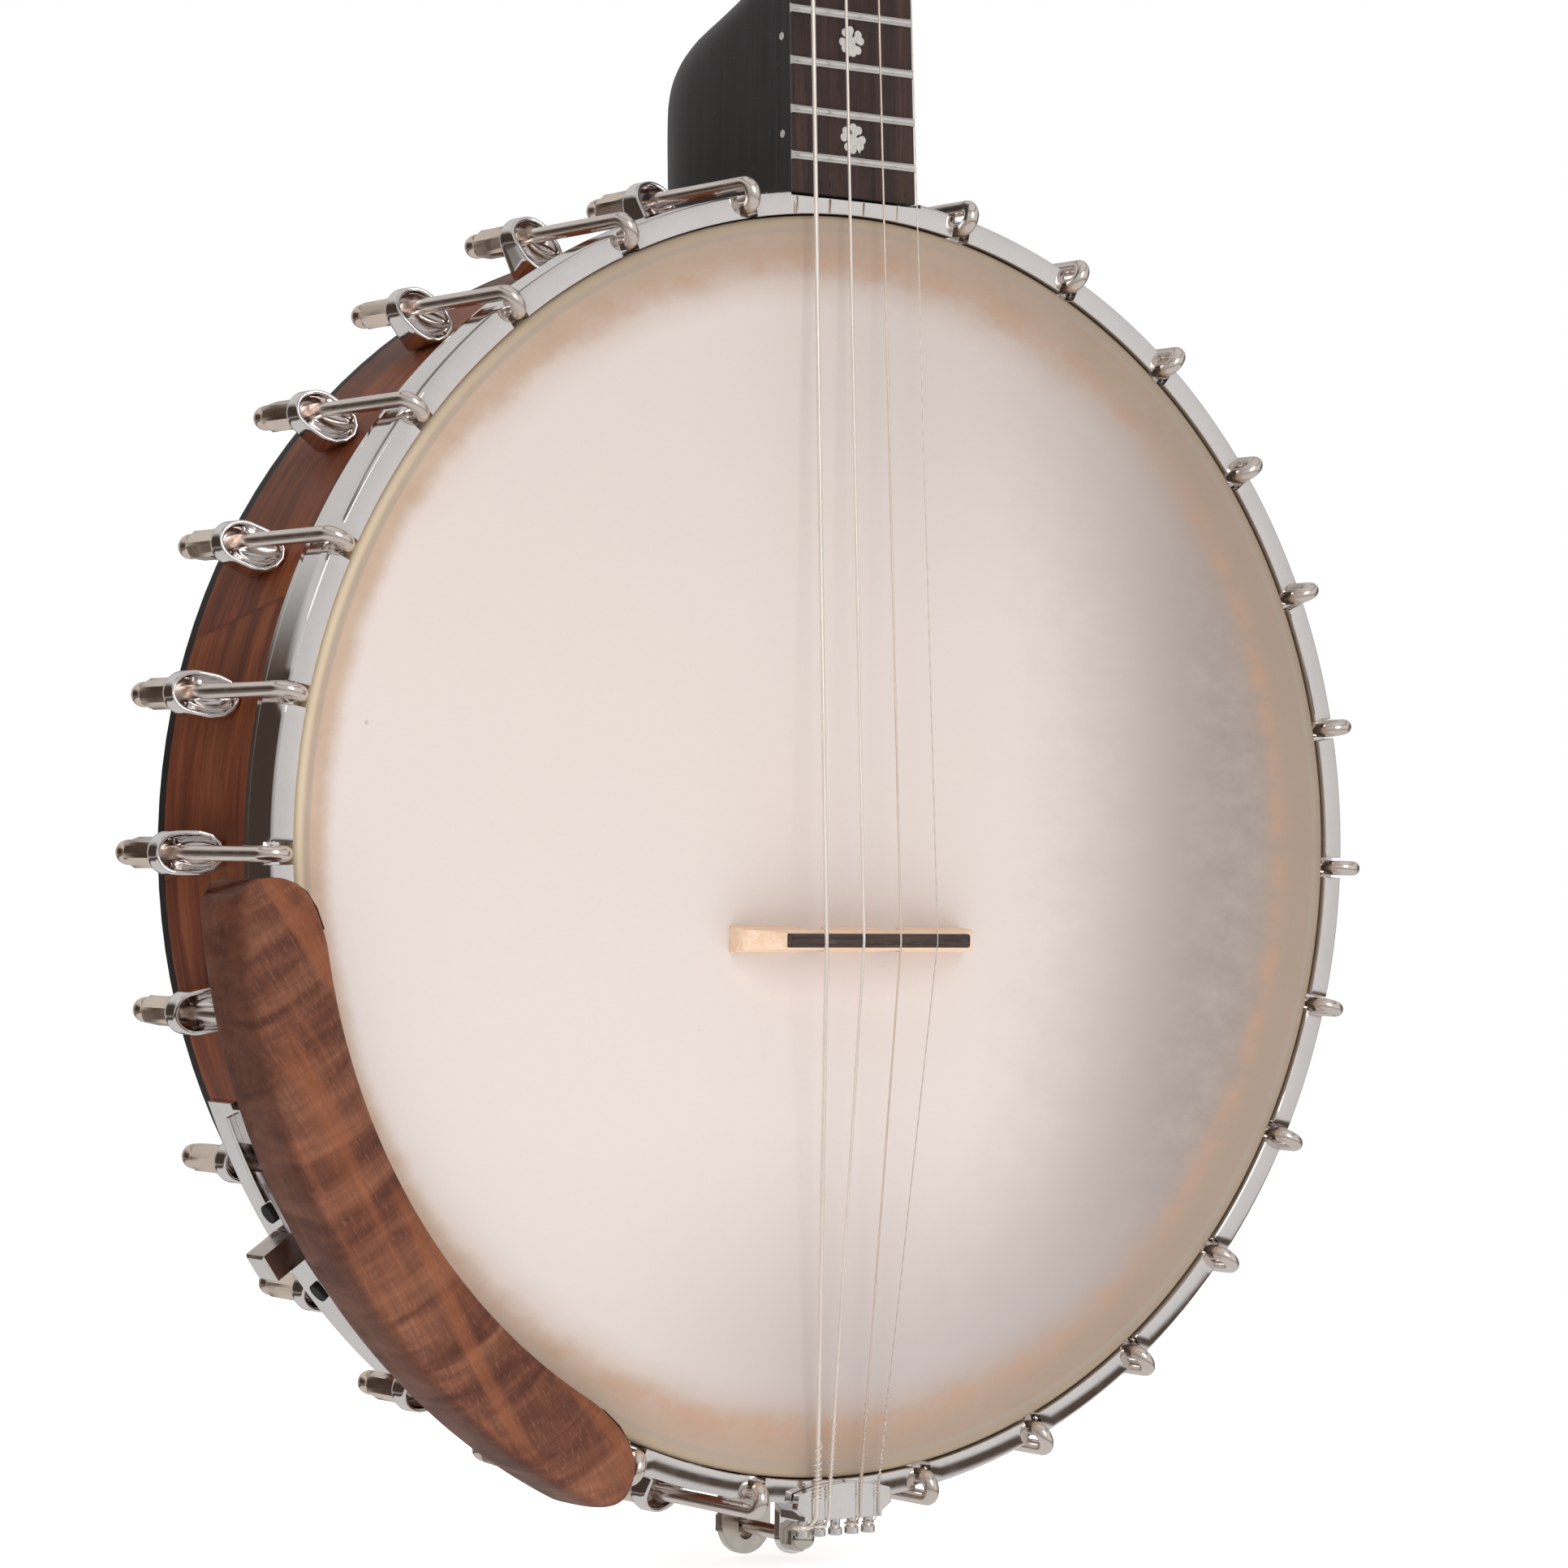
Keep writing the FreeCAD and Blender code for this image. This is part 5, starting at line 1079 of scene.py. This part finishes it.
# ================================================================== tailpiece posts
b = Build()
prof = [(0.0, -163.45), (1.25, -163.45), (1.25, -164.35), (1.22, -164.7), (1.22, -165.2), (1.3, -165.45), (1.62, -165.6), (1.75, -165.8), (1.75, -167.1), (1.62, -167.32), (1.4, -167.4), (0.55, -167.4), (0.45, -167.2), (0.0, -167.2)]
for x in POST_X:
    rings = []
    for k in range(28):
        a = 2 * math.pi * k / 28
        rings.append([(x + r * math.cos(a), -1.9 + r * math.sin(a), z) for r, z in prof])
    v, f = loft(rings, loop=True, closed=False)
    b.add(v, f)
finish_mesh(b, "tail_posts", [M["chrome"]], ["tailpiece_posts"], angle=30)

# ================================================================== materials of the CAD nodes that stay
KEEP = {
    "rim_shell": "rim", "rim_edge_cap": "ebonised", "tone_ring": "brass", "flesh_hoop": "aluminium", "shoe_bolts": "zinc",
    "coordinator_rod": "zinc", "rod_tail_bolt": "zinc", "neck_hanger_bolts": "zinc", "neck_steel_nuts": "zinc",
    "tailpiece_bracket": "nickel_cad", "tailpiece_bolt": "nickel_wire", "tailpiece_acorn_nut": "nickel_cad", "tailpiece_bracket_nuts": "nickel_cad",
    "tailpiece_body": "chrome_cad", "armrest_bar": "chrome_cad", "armrest_grommets": "rubber", "armrest_clamp_screw": "fret",
    "armrest_clamp_plate": "chrome_cad", "armrest_wood_screws": "zinc", "clover_inlays": "pearl", "side_dots": "pearl", "string_nut": "bone",
    "truss_rod": "zinc", "truss_rod_cover": "plastic", "truss_cover_screw": "chrome_cad", "tuner_housings": "nickel_cad", "tuner_bushings": "nickel_cad",
}
for i, s in enumerate(("wound", "wound", "bronze", "plain")):
    KEEP["tuner_post_%d" % (i + 1)] = "nickel_cad"
    KEEP["tuner_shaft_%d" % (i + 1)] = "zinc"
    KEEP["tuner_button_%d" % (i + 1)] = "pearloid"
    KEEP["string_wrap_%d" % (i + 1)] = s
for node, key in KEEP.items():
    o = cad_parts[node]
    for sl in o.material_slots:
        sl.link = "OBJECT"
        sl.material = M[key]

# ================================================================== studio
sc = bpy.context.scene
sc.view_settings.view_transform = "Standard"
sc.view_settings.look = "None"

w = bpy.data.worlds.new("studio")
sc.world = w
w.use_nodes = True
nt = w.node_tree
nt.nodes.clear()
wo = nt.nodes.new("ShaderNodeOutputWorld")


def wn_math(op, a, b=None):
    n = nt.nodes.new("ShaderNodeMath")
    n.operation = op
    for i, q in enumerate((a, b)):
        if q is None:
            continue
        if hasattr(q, "is_output"):
            nt.links.new(q, n.inputs[i])
        else:
            n.inputs[i].default_value = q
    return n.outputs[0]


def wn_map(v, a, b, c, d):
    n = nt.nodes.new("ShaderNodeMapRange")
    n.interpolation_type = "SMOOTHSTEP"
    nt.links.new(v, n.inputs[0])
    for i, q in enumerate((a, b, c, d)):
        n.inputs[i + 1].default_value = q
    return n.outputs[0]


tcw = nt.nodes.new("ShaderNodeTexCoord")
sp = nt.nodes.new("ShaderNodeSeparateXYZ")
nt.links.new(tcw.outputs["Generated"], sp.inputs[0])
wx, wy, wz = sp.outputs
az = wn_math("ARCTAN2", wx, wn_math("MULTIPLY", wy, -1.0))        # 0 in front, + to the right
azn = wn_math("ADD", wn_math("MULTIPLY", az, 1 / (2 * math.pi)), 0.5)
rp = nt.nodes.new("ShaderNodeValToRGB")
rp.color_ramp.interpolation = "EASE"
RING = [(0.0, 0.50), (0.030, 0.45), (0.060, 0.055), (0.165, 0.06), (0.20, 0.26), (0.30, 0.46), (0.42, 0.52), (0.52, 0.62), (0.60, 0.72), (0.68, 0.62),
        (0.715, 0.16), (0.80, 0.14), (0.835, 0.42), (0.90, 0.40), (0.945, 0.30), (0.985, 0.50), (1.0, 0.50)]
el = rp.color_ramp.elements
while len(el) < len(RING):
    el.new(0.5)
for e, (pos, lv) in zip(el, RING):
    e.position = pos
    e.color = (lv, lv, lv, 1)
nt.links.new(azn, rp.inputs[0])
walls = rp.outputs[0]
upk = wn_map(wz, 0.22, 0.46, 0.0, 1.0)
dnk = wn_map(wz, -0.30, -0.10, 1.0, 0.0)
gapk = wn_math("MULTIPLY", wn_map(wz, 0.60, 0.66, 0.0, 1.0), wn_map(wz, 0.72, 0.78, 1.0, 0.0))


def lerp(k, a, b):
    n = nt.nodes.new("ShaderNodeMix")
    n.data_type = "FLOAT"
    for i, q in ((0, k), (2, a), (3, b)):
        if hasattr(q, "is_output"):
            nt.links.new(q, n.inputs[i])
        else:
            n.inputs[i].default_value = q
    return n.outputs[0]


level = lerp(upk, walls, 0.62)
level = lerp(wn_math("MULTIPLY", gapk, 0.75), level, 0.08)
low = wn_math("MULTIPLY", wn_map(wz, -0.36, -0.30, 0.0, 1.0), wn_map(wz, -0.24, -0.18, 1.0, 0.0))
level = lerp(dnk, level, 0.62)
level = lerp(wn_math("MULTIPLY", low, 0.9), level, 0.03)
bg_s = nt.nodes.new("ShaderNodeBackground")
tint = nt.nodes.new("ShaderNodeMix")
tint.data_type = "RGBA"
nt.links.new(wn_map(level, 0.05, 0.30, 0.0, 1.0), tint.inputs[0])
tint.inputs[6].default_value = (1.0, 0.72, 0.58, 1)
tint.inputs[7].default_value = (1.0, 0.985, 0.97, 1)
nt.links.new(tint.outputs[2], bg_s.inputs["Color"])
nt.links.new(level, bg_s.inputs["Strength"])
bg_c = nt.nodes.new("ShaderNodeBackground")
bg_c.inputs["Color"].default_value = (1, 1, 1, 1)
bg_c.inputs["Strength"].default_value = 1.0
lp = nt.nodes.new("ShaderNodeLightPath")
mx = nt.nodes.new("ShaderNodeMixShader")
nt.links.new(lp.outputs["Is Camera Ray"], mx.inputs[0])
nt.links.new(bg_s.outputs[0], mx.inputs[1])
nt.links.new(bg_c.outputs[0], mx.inputs[2])
nt.links.new(mx.outputs[0], wo.inputs["Surface"])


def area(name, loc, target, size, power, color=(1, 1, 1), size_y=None, mirrored=False):
    l = bpy.data.lights.new(name, "AREA")
    l.energy, l.color = power, color
    l.shape, l.size, l.size_y = "RECTANGLE", size, size_y or size
    o = bpy.data.objects.new(name, l)
    sc.collection.objects.link(o)
    o.location = loc
    o.rotation_mode = "QUATERNION"
    o.rotation_quaternion = (Vector(target) - Vector(loc)).to_track_quat("-Z", "Y")
    o.visible_camera = False
    o.visible_glossy = mirrored
    return o


area("key_softbox", (-0.5, -2.3, 1.2), (0, 0, 0.05), 1.0, 17, (1.0, 0.985, 0.97), 1.2, True)
area("fill_softbox", (-2.2, -0.9, 0.9), (0, 0, 0.05), 0.5, 3, (0.97, 0.98, 1.0), 1.6)
area("top_panel", (0.0, 0.3, 2.6), (0, 0.1, 0), 1.8, 12, (1, 1, 1), 1.8)
area("back_panel", (-0.3, 2.2, 1.2), (0, 0, 0.1), 1.2, 5, (1, 1, 1), 0.9)

# plain pale floor
fl = Build()
ringsf = [[(r * math.cos(2 * math.pi * j / 64), r * math.sin(2 * math.pi * j / 64), 0) for j in range(64)] for r in (1e-3, 300.0, 600.0, 850.0)]
v, f = loft(ringsf)
fl.add(v, f)
me = bpy.data.meshes.new("floor")
me.from_pydata([(p[0] * MM, p[1] * MM, cad_lo.z - 0.0004) for p in fl.v], [], fl.f)
floor = bpy.data.objects.new("floor", me)
sc.collection.objects.link(floor)
m = Mat("pale_floor")
n1 = m.noise(m.scaled(3, 3, 3), 1.0, 2, 0.5)
me.materials.append(m.set(m.mix(n1, (0.93, 0.93, 0.93), (0.95, 0.95, 0.95)), 0.85, 0.0, spec=0.1))
m.b.inputs["Emission Color"].default_value = (1, 1, 1, 1)
m.b.inputs["Emission Strength"].default_value = 0.76
floor.visible_glossy = False

# ================================================================== camera
A_, E_, ROLL = -0.60935682, -0.01629760, 0.01306182
TGT = Vector((-0.019428, -0.0005, 0.014753))
backv = Vector((math.sin(A_) * math.cos(E_), -math.cos(A_) * math.cos(E_), math.sin(E_)))
fwd = -backv
right = fwd.cross(Vector((0, 0, 1))).normalized()
upv = right.cross(fwd)
r2 = right * math.cos(ROLL) + upv * math.sin(ROLL)
u2 = -right * math.sin(ROLL) + upv * math.cos(ROLL)
cam = bpy.data.cameras.new("camera")
cam.sensor_width, cam.lens = 36.0, 110.636
cam.clip_start, cam.clip_end = 0.05, 60.0
co = bpy.data.objects.new("camera", cam)
sc.collection.objects.link(co)
loc = TGT + backv * 1.16537
co.matrix_world = Matrix(((r2.x, u2.x, backv.x, loc.x), (r2.y, u2.y, backv.y, loc.y), (r2.z, u2.z, backv.z, loc.z), (0, 0, 0, 1)))
sc.camera = co
